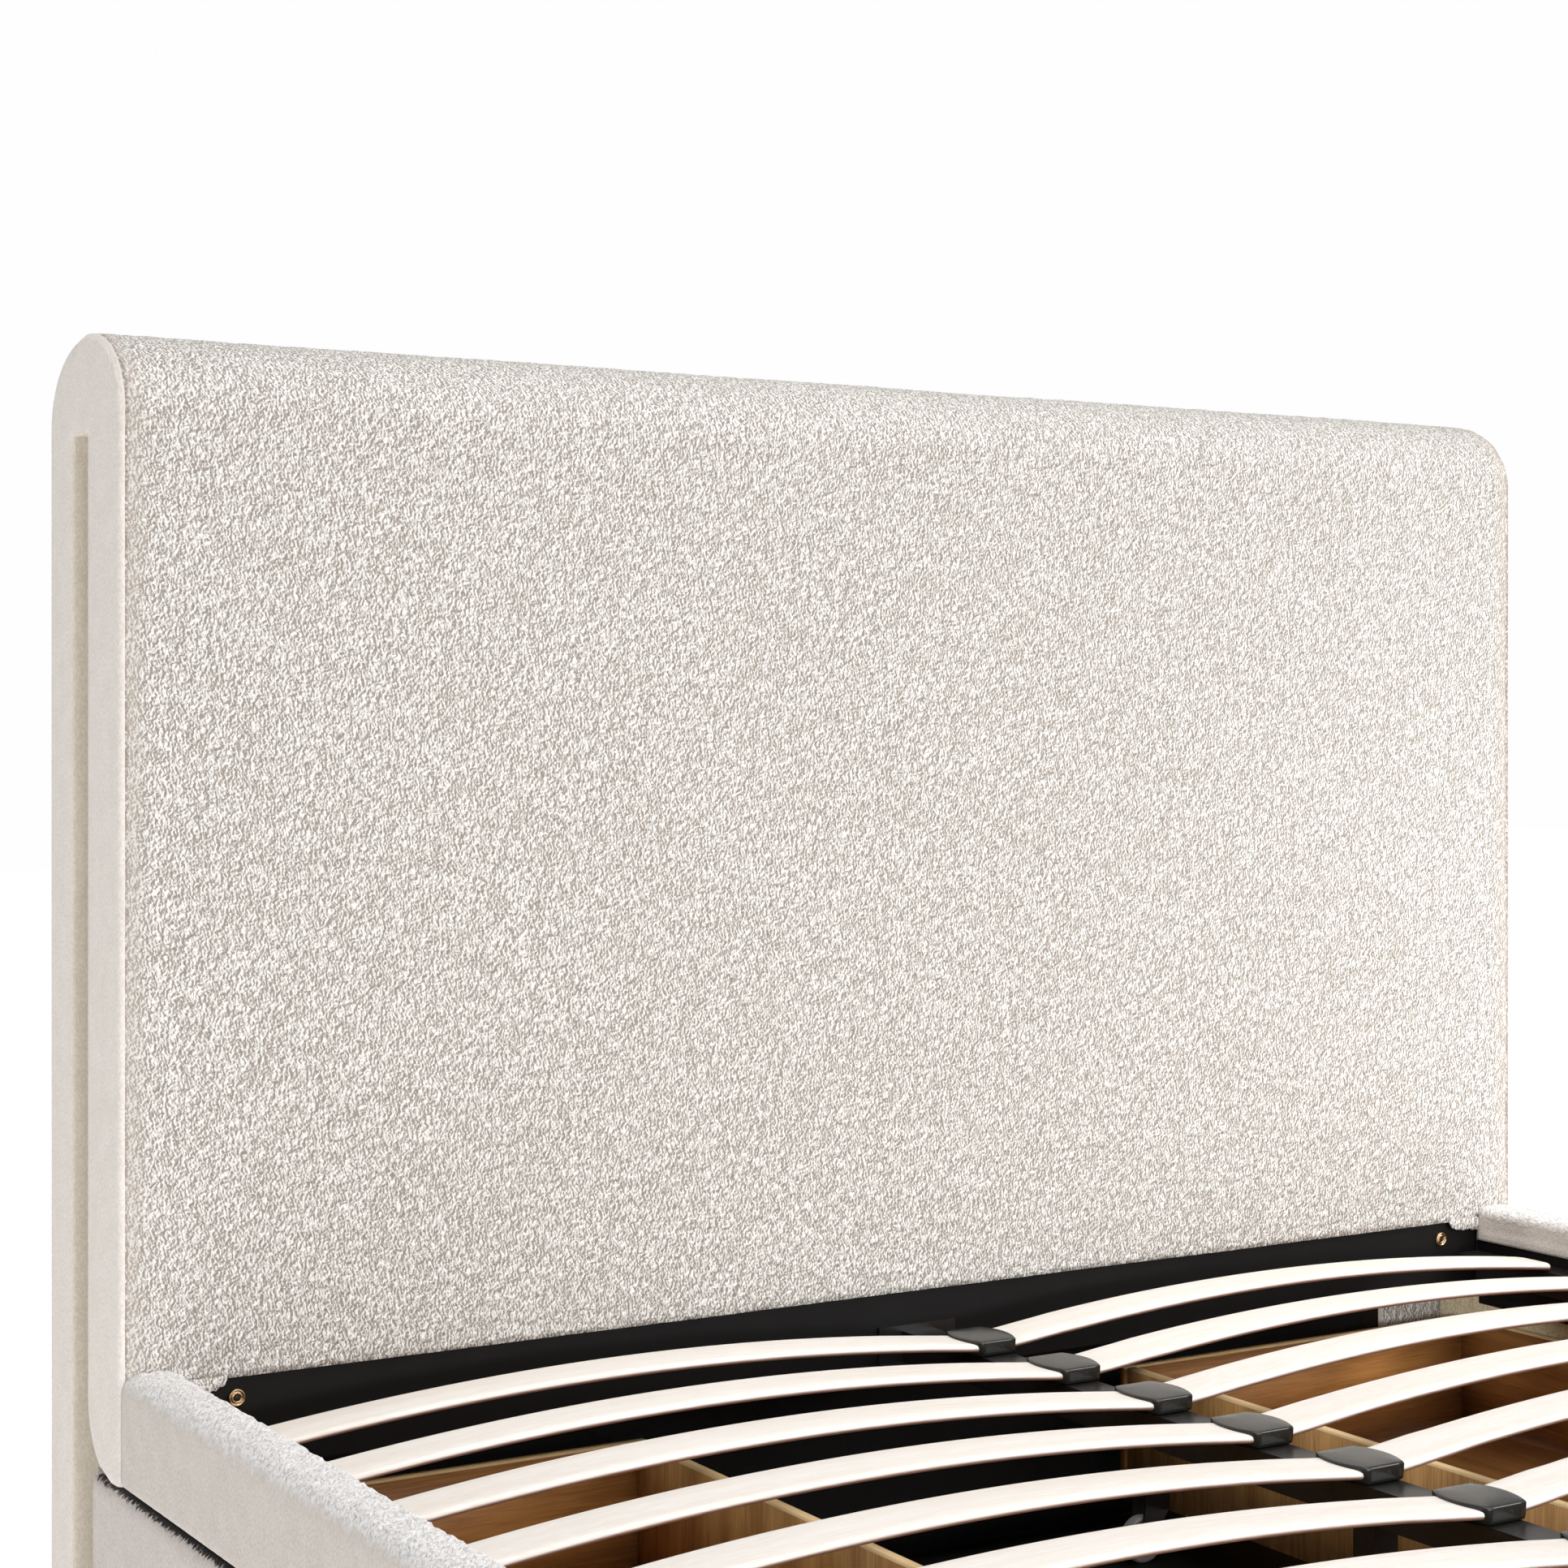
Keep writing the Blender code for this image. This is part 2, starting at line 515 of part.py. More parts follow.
def add_bracket(drawer, tag, x, y, behind):
    """Two cheeks, the base that joins them and the axle, all made one with the drawer."""
    cheek_inner = WHEEL_WIDTH / 2 + CHEEK_GAP
    cheek_outer = cheek_inner + CHEEK
    back = DRAWER_BACK_FROM_CENTRE
    z = AXLE_HEIGHT
    outline = cheek_outline(x, behind)
    if behind:
        base_low = (back - BRACKET_BASE, y - cheek_outer, DRAWER_BOX_BOTTOM + DRAWER_FLOOR_LIFT)
        base_high = (back + DRAWER_WALL / 3, y + cheek_outer, DRAWER_BOX_BOTTOM + BRACKET_RISE - BRACKET_BASE)
    else:
        base_low = (x - CHEEK_REACH, y - cheek_outer, DRAWER_BOX_BOTTOM - CHEEK_GAP)
        base_high = (x + CHEEK_REACH, y + cheek_outer, DRAWER_BOX_BOTTOM + DRAWER_FLOOR_LIFT / 3)
    boolean(drawer, box(f"bracket_base_{tag}", base_low, base_high), "UNION")
    for side in (-1, 1):
        low, high = sorted((y + side * cheek_inner, y + side * cheek_outer))
        cheek = extruded(f"cheek_{tag}_{side}", outline, low, high, ALONG_Y)
        boolean(drawer, cheek, "UNION")
    axle = cylinder(f"axle_{tag}", AXLE_RADIUS, (x, y - cheek_inner - CHEEK / 2, z),
                    (x, y + cheek_inner + CHEEK / 2, z), 10)
    boolean(drawer, axle, "UNION")


def make_drawer_box(half_length):
    """A right-hand drawer with its brackets, about its own middle; the others share its mesh."""
    front_inner = HALF_WIDTH - DRAWER_FRONT_THICKNESS - SEAT_GAP
    drawer = box("drawer_box", (DRAWER_BACK_FROM_CENTRE, -half_length, DRAWER_BOX_BOTTOM),
                 (front_inner, half_length, DRAWER_BOX_TOP), OAK)
    inner = half_length - DRAWER_WALL
    low_x = DRAWER_BACK_FROM_CENTRE + DRAWER_WALL
    high_x = front_inner - DRAWER_WALL
    floor = DRAWER_BOX_BOTTOM + DRAWER_FLOOR_LIFT + DRAWER_FLOOR
    for i, (x, y, behind) in enumerate(wheel_places(half_length)):
        add_bracket(drawer, str(i + 1), x, y, behind)
    boolean(drawer, box("drawer_inside", (low_x, -inner, floor), (high_x, inner, DRAWER_BOX_TOP + CUT_PAST)))
    bpy.context.view_layer.update()
    evaluated = drawer.evaluated_get(bpy.context.evaluated_depsgraph_get())
    mesh = bpy.data.meshes.new_from_object(evaluated)
    bpy.data.objects.remove(drawer, do_unlink=True)
    return mesh


def wheel_profile():
    bore = AXLE_RADIUS + SEAT_GAP
    half = WHEEL_WIDTH / 2
    return [(bore, half), (WHEEL_RADIUS - WHEEL_CHAMFER, half), (WHEEL_RADIUS, half - WHEEL_CHAMFER),
            (WHEEL_RADIUS, WHEEL_CHAMFER - half), (WHEEL_RADIUS - WHEEL_CHAMFER, -half), (bore, -half)]


def make_drawers():
    head_end = HEAD_Y + FRONT_LIMB
    foot_end = FOOT_INNER_Y + DRAWER_FRONT_GAP
    span = head_end - foot_end
    front_length = (span - DRAWER_FRONT_GAP * (DRAWERS_PER_SIDE - 1)) / DRAWERS_PER_SIDE
    half_box = front_length / 2 - DRAWER_SIDE_MARGIN
    mesh = make_drawer_box(half_box)
    for index, end in enumerate(("head", "foot")):
        y = head_end - front_length / 2 - index * (front_length + DRAWER_FRONT_GAP)
        for side, sign in SIDES.items():
            tag = f"{side}_{end}"
            turn = Matrix.Rotation(math.radians(0 if sign > 0 else 180), 4, "Z")
            carcass = add_object("drawer_box_" + tag, mesh, OAK)
            carcass.matrix_world = Matrix.Translation((0, y, 0)) @ turn
            inner_x = HALF_WIDTH - DRAWER_FRONT_THICKNESS
            low_x, high_x = sorted((sign * inner_x, sign * HALF_WIDTH))
            front = box("drawer_front_" + tag, (low_x, y - front_length / 2, DRAWER_FRONT_BOTTOM),
                        (high_x, y + front_length / 2, DRAWER_FRONT_TOP), BOUCLE)
            bevel(front, DRAWER_FRONT_RADIUS)
            for i, (wheel_x, wheel_y, _) in enumerate(wheel_places(half_box)):
                wheel = turned(f"caster_wheel_{tag}_{i + 1}", wheel_profile(), 18, GREY_PLASTIC)
                wheel.rotation_euler = (math.radians(90), 0, 0)
                wheel.location = (sign * wheel_x, y + sign * wheel_y, AXLE_HEIGHT)


make_headboard()
make_cross_rail()
make_side_rails()
make_foot_rail()
make_centre_rail()
make_slats()
make_drawers()
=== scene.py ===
# %% [markdown]
# # Upholstered storage bed
# The bed has a headboard bent like an upside-down U, padded rails, a middle tube that carries bowed
# slats, and four drawers on wheels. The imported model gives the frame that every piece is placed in.

# %% Load the fixed frame
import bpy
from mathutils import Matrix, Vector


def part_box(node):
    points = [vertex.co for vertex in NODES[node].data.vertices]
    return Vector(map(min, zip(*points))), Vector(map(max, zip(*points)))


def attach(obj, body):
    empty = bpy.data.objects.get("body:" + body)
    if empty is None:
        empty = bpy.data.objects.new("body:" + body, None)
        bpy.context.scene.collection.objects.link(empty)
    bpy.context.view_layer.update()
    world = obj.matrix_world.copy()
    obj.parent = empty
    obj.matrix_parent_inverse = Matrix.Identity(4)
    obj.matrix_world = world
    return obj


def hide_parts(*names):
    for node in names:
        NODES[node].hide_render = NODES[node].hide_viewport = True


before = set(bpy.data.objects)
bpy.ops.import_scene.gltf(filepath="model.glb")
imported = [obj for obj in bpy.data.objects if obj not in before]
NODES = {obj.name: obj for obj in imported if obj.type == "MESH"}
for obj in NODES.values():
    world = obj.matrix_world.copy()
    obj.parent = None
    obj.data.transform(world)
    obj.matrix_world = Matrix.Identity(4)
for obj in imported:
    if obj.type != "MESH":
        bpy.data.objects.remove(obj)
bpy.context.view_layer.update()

# %% Tools that the whole lesson uses
import math

import bpy
from mathutils import Vector, noise

# %% [markdown]
# ## The camera
# A long lens stands beside the bed and looks at the headboard with no tilt, so that upright edges stay
# upright. A small vertical shift frames the headboard instead of a tilt.

# %% Camera
LENS_MM = 65.7
VERTICAL_SHIFT = -0.0487
CAMERA_PLACE = (-1.602, -1.4225, 0.887)
CAMERA_TURN = math.radians(-31.37)

lens = bpy.data.cameras.new("viewpoint")
lens.lens = LENS_MM
lens.sensor_width = 36
lens.shift_y = VERTICAL_SHIFT
lens.clip_end = 50
viewpoint = bpy.data.objects.new("viewpoint", lens)
viewpoint.location = CAMERA_PLACE
viewpoint.rotation_euler = (math.radians(90), 0, CAMERA_TURN)
bpy.context.scene.collection.objects.link(viewpoint)
bpy.context.scene.camera = viewpoint
bpy.context.scene.view_settings.view_transform = "Standard"
print("camera at", CAMERA_PLACE)

# %% [markdown]
# ## Writing a finish
# A finish is a small network of nodes. Sums are written as Python expressions: the Wire class holds a
# socket, and adding or multiplying two wires adds the Math node. Every other node comes from one method.

# %% Wires and finishes
class Wire:
    """A socket that gives a number, a colour or a vector. Sums on numbers add Math nodes."""

    def __init__(self, finish, socket):
        self.finish = finish
        self.socket = socket

    def math(self, operation, *values):
        return self.finish.node("ShaderNodeMath", {"operation": operation}, dict(enumerate(values)))

    def __add__(self, other):
        return self.math("ADD", self, other)

    def __radd__(self, other):
        return self.math("ADD", other, self)

    def __sub__(self, other):
        return self.math("SUBTRACT", self, other)

    def __rsub__(self, other):
        return self.math("SUBTRACT", other, self)

    def __mul__(self, other):
        return self.math("MULTIPLY", self, other)

    def __rmul__(self, other):
        return self.math("MULTIPLY", other, self)


def colour(red, green, blue):
    """A screen colour, 0 to 255, as the linear colour that shaders work in."""
    parts = [c / 255 for c in (red, green, blue)]
    linear = [c / 12.92 if c <= 0.04045 else ((c + 0.055) / 1.055) ** 2.4 for c in parts]
    return (*linear, 1.0)


class Finish:
    """One material. The shader's steady values are set on its own sockets."""

    def __init__(self, name, steady):
        self.material = bpy.data.materials.new(name)
        self.material.use_nodes = True
        self.tree = self.material.node_tree
        self.shader = self.tree.nodes["Principled BSDF"]
        for socket, value in steady.items():
            self.shader.inputs[socket].default_value = value

    def node(self, kind, settings, inputs, output=0):
        made = self.tree.nodes.new(kind)
        for name, value in settings.items():
            setattr(made, name, value)
        for key, value in inputs.items():
            if isinstance(value, Wire):
                self.tree.links.new(value.socket, made.inputs[key])
            else:
                made.inputs[key].default_value = value
        return Wire(self, made.outputs[output])

    def place(self):
        """Where the point is on its piece, in metres."""
        return self.node("ShaderNodeTexCoord", {}, {}, "Object")

    def facing(self):
        """Which way the surface faces, on its piece."""
        return self.node("ShaderNodeTexCoord", {}, {}, "Normal")

    def along(self, vector, axis):
        return self.node("ShaderNodeSeparateXYZ", {}, {0: vector}, axis)

    def stretched(self, vector, scale):
        return self.node("ShaderNodeVectorMath", {"operation": "MULTIPLY"}, {0: vector, 1: scale})

    def moved(self, vector, other):
        return self.node("ShaderNodeVectorMath", {"operation": "ADD"}, {0: vector, 1: other})

    def noise(self, vector, scale, detail=2.0, output="Fac", rough=0.5):
        inputs = {"Vector": vector, "Scale": scale, "Detail": detail, "Roughness": rough}
        return self.node("ShaderNodeTexNoise", {}, inputs, output)

    def warped(self, vector, scale, reach):
        """The same place, wandering by up to about reach."""
        drift = self.noise(vector, scale, 1.0, "Color")
        subtract = {"operation": "SUBTRACT"}
        centred = self.node("ShaderNodeVectorMath", subtract, {0: drift, 1: (0.5, 0.5, 0.5)})
        return self.moved(vector, self.stretched(centred, (2 * reach, 2 * reach, 2 * reach)))

    def step(self, value, low, high):
        """0 below low, 1 above high, with a smooth change between them."""
        inputs = {"Value": value, "From Min": low, "From Max": high}
        return self.node("ShaderNodeMapRange", {"interpolation_type": "SMOOTHSTEP"}, inputs)

    def mix(self, factor, low, high):
        return self.node("ShaderNodeMix", {"data_type": "RGBA"}, {0: factor, 6: low, 7: high}, 2)

    def bump(self, height, distance, strength=1.0):
        inputs = {"Height": height, "Distance": distance, "Strength": strength}
        return self.node("ShaderNodeBump", {}, inputs)

    def feed(self, **wires):
        for socket, wire in wires.items():
            self.tree.links.new(wire.socket, self.shader.inputs[socket.replace("_", " ")])
        return self.material


print("finish tools ready")

# %% [markdown]
# ## Boucle on the front of the headboard
# Boucle is woven from a looped yarn. Each loop catches the light and the gaps between loops are darker,
# in shade. A Voronoi texture gives lumps the size of a loop, 6 to 7 mm, and a wandering coordinate keeps
# them from looking like a honeycomb. Noise stretched upwards gives the fine yarns. Each texture is read
# twice, a millimetre apart: where it falls away towards the light it is painted pale, and where it rises
# it is painted dark, so the yarns look embossed from any distance. This is painted highlight and shade in
# the colour, besides the bump. The sides of the headboard are covered with the same cloth brushed flat,
# and where the two meet the front has a painted taupe shade towards its rolled edge and a dotted painted
# shadow in the seam.

# %% Boucle
BED_HALF = 0.8175
LOOP_SIZE = 0.0064
LOOP_STRETCH = (1.0, 1.0, 0.70)
RIBS_PER_METRE = (440.0, 440.0, 320.0)
RIB_LEAN = math.radians(14)
TO_LIGHT = (-0.0012, 0.0, 0.0008)

# The two loop tints are the yarn in painted shade and in painted light.
SHADED_LOOP_TINT = colour(154, 146, 137)
LIT_LOOP_TINT = colour(248, 245, 241)
FLEECE_LIGHT = colour(243, 236, 229)
FLEECE_DARK = colour(226, 218, 210)
# Painted shade on the rolled edge, and painted shadow in its seam.
ROLL_SHADE_TAUPE = colour(190, 178, 168)
SEAM_SHADOW_DARK = colour(140, 128, 118)


def looped(finish, place):
    """(height, top) of the loops: top is near 1 where a yarn faces the light and near 0 in its shade."""
    def cell_distance(spot):
        inputs = {"Vector": spot, "Scale": 1 / LOOP_SIZE}
        return finish.node("ShaderNodeTexVoronoi", {"feature": "F1"}, inputs)

    def rib_height(spot):
        return finish.noise(finish.stretched(spot, RIBS_PER_METRE), 1.0, 1.0)

    wander = finish.warped(place, 160.0, 0.0018)
    cells = finish.stretched(wander, LOOP_STRETCH)
    far = cell_distance(cells)
    past = cell_distance(finish.moved(cells, TO_LIGHT))
    lump = 1.0 - finish.step(far, 0.0, 0.8)
    leaning = finish.node("ShaderNodeVectorRotate", {"rotation_type": "Y_AXIS"},
                          {"Vector": wander, "Angle": RIB_LEAN})
    ribs = rib_height(leaning)
    lightward = rib_height(finish.moved(leaning, TO_LIGHT))
    slope = (ribs - lightward) * 1.45 + (past - far) * 0.22
    height = lump * 0.6 + ribs * 0.6
    return height, slope + (ribs - 0.5) * 0.40 + (lump - 0.5) * 0.26 + 0.5


def fleeced(finish, place):
    """(height, top) of cloth brushed flat: short fine fibres and small pills, with no loops."""
    fine = finish.noise(finish.stretched(place, (1.0, 1.0, 0.8)), 420.0, 3.0, rough=0.65)
    cloud = finish.noise(place, 45.0, 2.0)
    return fine, fine * 0.8 + cloud * 0.2


def boucle(name, sides):
    """Boucle that turns to fleece at the side edges, with painted taupe shade and a dotted painted shadow
    where the two meet.
    """
    finish = Finish(name, {"Roughness": 0.95, "Sheen Weight": 0.12, "Sheen Roughness": 0.6,
                           "Specular IOR Level": 0.12})
    place = finish.place()
    loop_height, loop_top = looped(finish, place)
    flat_height, flat_top = fleeced(finish, place)
    tone = finish.noise(place, 5.0, 2.0)
    # Painted highlight and shade: the loops' colour runs from a shaded tint where the yarn is in shade to a
    # lit tint where it faces the light.
    light = finish.step(loop_top, 0.14, 0.80)
    loops = finish.mix(light, SHADED_LOOP_TINT, LIT_LOOP_TINT)
    flat = finish.mix(finish.step(flat_top, 0.35, 0.65), FLEECE_DARK, FLEECE_LIGHT)
    x = finish.along(place, "X")
    x = x.math("ABSOLUTE", x) + (tone - 0.5) * 0.006
    # Painted shade: the front darkens towards taupe as it nears its rolled edge.
    seam = finish.step(x, sides - 0.030, sides - 0.006) * 0.45
    loops = finish.mix(seam, loops, ROLL_SHADE_TAUPE)
    # Painted shadow: dark dots in the crease of the seam between front and side.
    dots = finish.step(finish.noise(place, 330.0, 1.0), 0.40, 0.56)
    seam_shadow_dots = finish.step(x, sides - 0.0080, sides - 0.0035) * dots * 0.90
    loops = finish.mix(seam_shadow_dots, loops, SEAM_SHADOW_DARK)
    edge = finish.step(x, sides - 0.0004, sides + 0.0006)
    keep = 1.0 - finish.step(x, sides - 0.018, sides - 0.004)
    height = loop_height * (keep * 0.9 + 0.1) + flat_height * edge * 0.12
    return finish.feed(Base_Color=finish.mix(edge, loops, flat),
                       Normal=finish.bump(height, 0.0030, 1.0))


headboard_cloth = boucle("headboard_boucle", BED_HALF)
print("finish", headboard_cloth.name)

# %% [markdown]
# ## Fleece and pile on the rails and drawers
# The rails and the drawer fronts have the same cloth with its loops brushed down. Where light grazes
# the top of a rail the short pile shows as fine slanting strokes. Noise stretched along a slant gives
# them, and a mask on the height keeps them on the top. The top is painted paler than the sides, and its
# strokes run from painted shade to painted highlight, as grazing light falls on the pile's own strokes.
# A drawer front's top edge lies in the shade of the rail above it, so a second mask darkens it with a
# frayed border: painted shade.

# %% Fleece
def fleece(name, light, dark, pile_from=None, dark_from=None):
    """Brushed cloth. Its pile stands up above pile_from, painted paler and with painted light and shade on
    its strokes, and it is painted in deep shade above dark_from.
    """
    finish = Finish(name, {"Roughness": 0.95, "Sheen Weight": 0.15, "Sheen Roughness": 0.5,
                           "Specular IOR Level": 0.12})
    place = finish.place()
    flat_height, flat_top = fleeced(finish, place)
    tint = finish.mix(finish.step(flat_top, 0.35, 0.65), dark, light)
    height = flat_height * 0.30
    if dark_from is not None:
        frayed = finish.noise(finish.stretched(place, (1.0, 1.0, 0.5)), 260.0, 2.0)
        height_here = finish.along(place, "Z") + (frayed - 0.5) * 0.012
        shade = finish.step(height_here, dark_from - 0.002, dark_from + 0.001)
        tint = finish.mix(shade, tint, colour(34, 29, 27))
    if pile_from is None:
        return finish.feed(Base_Color=tint, Normal=finish.bump(height, 0.0018, 0.8))
    turned = finish.node("ShaderNodeVectorRotate", {"rotation_type": "Z_AXIS"},
                         {"Vector": finish.warped(place, 120.0, 0.003), "Angle": math.radians(35)})
    strokes = finish.noise(finish.stretched(turned, (430.0, 190.0, 300.0)), 1.0, 2.0)
    ragged = finish.noise(place, 160.0, 2.0)
    on_top = finish.step(finish.along(place, "Z") + (ragged - 0.5) * 0.012, pile_from - 0.011, pile_from)
    # Partly painted light: the pile's tints are paler than the sides' tints and run from a shaded tint to a
    # lit one; the stroke pattern itself is the pile's own.
    pile = finish.mix(finish.step(strokes, 0.30, 0.60), colour(216, 211, 208), colour(252, 250, 249))
    return finish.feed(Base_Color=finish.mix(on_top, tint, pile),
                       Normal=finish.bump(height + strokes * on_top * 1.2, 0.0026, 1.0))


rail_cloth = fleece("rail_fleece", colour(224, 216, 209), colour(205, 196, 188), 0.316)
drawer_cloth = fleece("drawer_fleece", colour(221, 213, 206), colour(202, 193, 186), dark_from=0.2150)
limb_cloth = fleece("headboard_fleece", FLEECE_LIGHT, FLEECE_DARK)
groove_cloth = fleece("groove_fleece", colour(234, 225, 211), colour(217, 208, 193))
# Painted light: the drawer fronts' inner faces lie in shade, so their cloth is a paler, warmer copy.
inner_lit_cloth = fleece("inner_face_lit_fleece", colour(242, 232, 204), colour(204, 190, 154))
print("finishes", rail_cloth.name, drawer_cloth.name, limb_cloth.name, groove_cloth.name)

# %% [markdown]
# ## Wood
# Wood is a bundle of long fibres, so its colour changes slowly along the grain and fast across it. The
# same noise does every board: the place is stretched along the grain, and two scales are added, one for
# broad bands and one for pores. Slats are pale birch whose downward faces are darker, partly painted
# shade and partly the warm tint of the ply at their lower edges; drawers are oak.

# %% Wood finishes
def wood(name, grain, light, dark, rough, broad, pores, under=None, top_edge=None):
    """Boards with the grain along the axis "X", "Y" or "Z"."""
    finish = Finish(name, {"Specular IOR Level": 0.35})
    place = finish.place()
    along, across = 3.0, 85.0
    scale = tuple(along if axis == grain else across for axis in "XYZ")
    wander = finish.warped(place, 4.0, 0.006)
    bands = finish.noise(finish.stretched(wander, scale), 0.45, 3.0, rough=0.6)
    fine = finish.noise(finish.stretched(place, scale), 7.0, 3.0, rough=0.65)
    centre = 0.5 * (broad + pores)
    mix = finish.step(bands * broad + fine * pores, centre - 0.16, centre + 0.16)
    tint = finish.mix(mix, dark, light)
    if under is not None:
        # Partly painted shade: faces that point down take the darker under colour, which also carries the
        # warm tint of the ply edges.
        down = finish.step(finish.along(finish.facing(), "Z") * -1.0, -0.25, 0.45)
        tint = finish.mix(down, tint, under)
    if top_edge is not None:
        height, edge_tint = top_edge
        tint = finish.mix(finish.step(finish.along(place, "Z"), height - 0.0012, height), tint, edge_tint)
    return finish.feed(Base_Color=tint, Roughness=(1.0 - fine) * 0.2 + (rough - 0.1),
                       Normal=finish.bump(fine * 0.6 + bands * 0.4, 0.0004, 0.5))


birch = wood("birch", "X", colour(249, 244, 238), colour(238, 228, 218), 0.42, 0.5, 0.5,
             under=colour(140, 100, 84))
OAK_EDGE = (0.1855, colour(250, 216, 160))
# Painted shade: the oak of the end walls, the front wall and the floor is a darker, redder copy of the back
# wall's oak, since those walls lie in shade.
oak_long_shaded = wood("oak_along_shaded", "Y", colour(182, 126, 70), colour(132, 84, 42), 0.45, 0.6, 0.4,
                top_edge=OAK_EDGE)
oak_short_shaded = wood("oak_across_shaded", "X", colour(188, 132, 74), colour(138, 90, 46), 0.45, 0.6, 0.4,
                 top_edge=OAK_EDGE)
oak_upright = wood("oak_upright", "Z", colour(226, 176, 112), colour(172, 124, 70), 0.45, 0.5, 0.5,
                   top_edge=OAK_EDGE)
plywood = wood("plywood", "X", colour(205, 172, 128), colour(178, 143, 100), 0.65, 0.5, 0.5)
print("finishes", birch.name, oak_long_shaded.name, oak_short_shaded.name, oak_upright.name, plywood.name)

# %% [markdown]
# ## Steel, plastic and brass
# The steel under the slats is powder-coated: black with a fine orange-peel. The slat holders and the
# wheels are moulded plastic with a faint texture. The bolts are brass-plated and slightly scratched.

# %% Hard finishes
def coated(name, light, dark, rough, grain, metal=0.0, depth=0.0002, shine=0.5):
    finish = Finish(name, {"Metallic": metal, "Specular IOR Level": shine})
    place = finish.place()
    fine = finish.noise(place, grain, 3.0, rough=0.6)
    cloud = finish.noise(place, 20.0, 2.0)
    tint = finish.mix(fine * 0.5 + cloud * 0.5, dark, light)
    return finish.feed(Base_Color=tint, Roughness=cloud * 0.16 + (rough - 0.08),
                       Normal=finish.bump(fine, depth, 0.6))


black_steel = coated("black_powder_coat", colour(40, 38, 37), colour(24, 22, 21), 0.30, 900.0)
black_board = coated("black_board_face", colour(12, 9, 8), colour(5, 4, 4), 0.7, 500.0, shine=0.25)
holder_plastic = coated("holder_plastic", colour(43, 43, 41), colour(28, 28, 26), 0.24, 700.0,
                        depth=0.00006)
wheel_plastic = coated("wheel_plastic", colour(150, 150, 148), colour(126, 126, 124), 0.45, 600.0)
brass = coated("brass_plate", colour(222, 192, 150), colour(176, 144, 104), 0.28, 800.0, 1.0)
dark_socket = coated("socket_shadow", colour(30, 26, 24), colour(16, 14, 13), 0.6, 800.0)
bright_screw = coated("zinc_screw", colour(214, 210, 200), colour(170, 166, 156), 0.3, 900.0, 1.0)
print("hard finishes made")

# %% [markdown]
# ## Building closed meshes
# Each padded piece is one closed skin. A helper links the mesh, names its finish, and says which body it
# rides and which CAD solid it stands for.

# %% Piece helpers
def add_piece(name, points, faces, material, body, stands_for=()):
    mesh = bpy.data.meshes.new(name)
    mesh.from_pydata(points, [], faces)
    mesh.validate()
    mesh.shade_smooth()
    mesh.materials.append(material)
    piece = bpy.data.objects.new(name, mesh)
    bpy.context.scene.collection.objects.link(piece)
    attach(piece, body)
    if stands_for:
        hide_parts(*stands_for)
    return piece


def spread(low, high, step):
    """Evenly spaced numbers from low to high, about step apart."""
    count = max(1, round(abs(high - low) / step))
    return [low + (high - low) * i / count for i in range(count + 1)]


def tube_faces(rings, around):
    """Quads between rings of points, each ring closed, and a face at each end."""
    faces = []
    for i in range(rings - 1):
        for j in range(around):
            k = (j + 1) % around
            faces.append((i * around + j, i * around + k, (i + 1) * around + k, (i + 1) * around + j))
    faces.append(tuple(range(around - 1, -1, -1)))
    faces.append(tuple((rings - 1) * around + j for j in range(around)))
    return faces


def lumps(place, size, reach):
    """Soft random height at a place, the same at every run."""
    return reach * noise.noise(Vector(place) / size)


print("piece helpers ready")

# %% [markdown]
# ## The headboard's cover
# One length of cloth goes up the front, over the round top and down the back, and the side edges are
# rolled. It is a band bent like an upside-down U: at each step along the U there is a closed ring that
# runs along the outside, round the side edge, across the thickness and back along the inside. The
# outside has a close grid so that the loops can lift it, and the inside needs only a few points.

# %% Path of the band
HEAD_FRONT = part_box("headboard_cover")[0].y
HEAD_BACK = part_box("headboard_cover")[1].y
HEAD_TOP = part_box("headboard_cover")[1].z
COVER_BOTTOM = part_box("headboard_cover")[0].z
RAIL_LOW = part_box("side_rail_cover_left")[0].z
GROOVE_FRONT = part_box("headboard_spacer")[0].y - 0.0003
GROOVE_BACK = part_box("headboard_spacer")[1].y + 0.0003
GROOVE_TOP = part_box("headboard_spacer")[1].z + 0.0003
ROUND_RISE = 0.075
LIMB_CORNER = 0.060
REBATE_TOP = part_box("head_cross_rail")[1].z + 0.0006
REBATE_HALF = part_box("head_cross_rail")[1].x + 0.0040
REBATE_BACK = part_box("head_cross_rail")[1].y + 0.0004
FINE = 0.0066
COARSE = 0.016

shoulder = HEAD_TOP - ROUND_RISE


def inner_front(z):
    """How far back the front limb reaches at a height: its lower back corner is round."""
    drop = max(0.0, RAIL_LOW + LIMB_CORNER - z)
    return GROOVE_FRONT - LIMB_CORNER + math.sqrt(max(0.0, LIMB_CORNER ** 2 - drop ** 2))


path = []
heights = spread(RAIL_LOW, REBATE_TOP - 0.0006, FINE) + spread(REBATE_TOP, shoulder, FINE)
for z in heights:
    share = (z - RAIL_LOW) / (shoulder - RAIL_LOW)
    inner_z = RAIL_LOW + share * (GROOVE_TOP - RAIL_LOW)
    path.append(((HEAD_FRONT, z), (inner_front(inner_z), inner_z)))
turn_steps = 40
middle = (HEAD_FRONT + HEAD_BACK) / 2
half_depth = (HEAD_BACK - HEAD_FRONT) / 2
for i in range(1, turn_steps):
    angle = math.pi * (1 - i / turn_steps)
    outer = (middle + half_depth * math.cos(angle), shoulder + ROUND_RISE * math.sin(angle))
    share = i / turn_steps
    path.append((outer, (GROOVE_FRONT + share * (GROOVE_BACK - GROOVE_FRONT), GROOVE_TOP)))
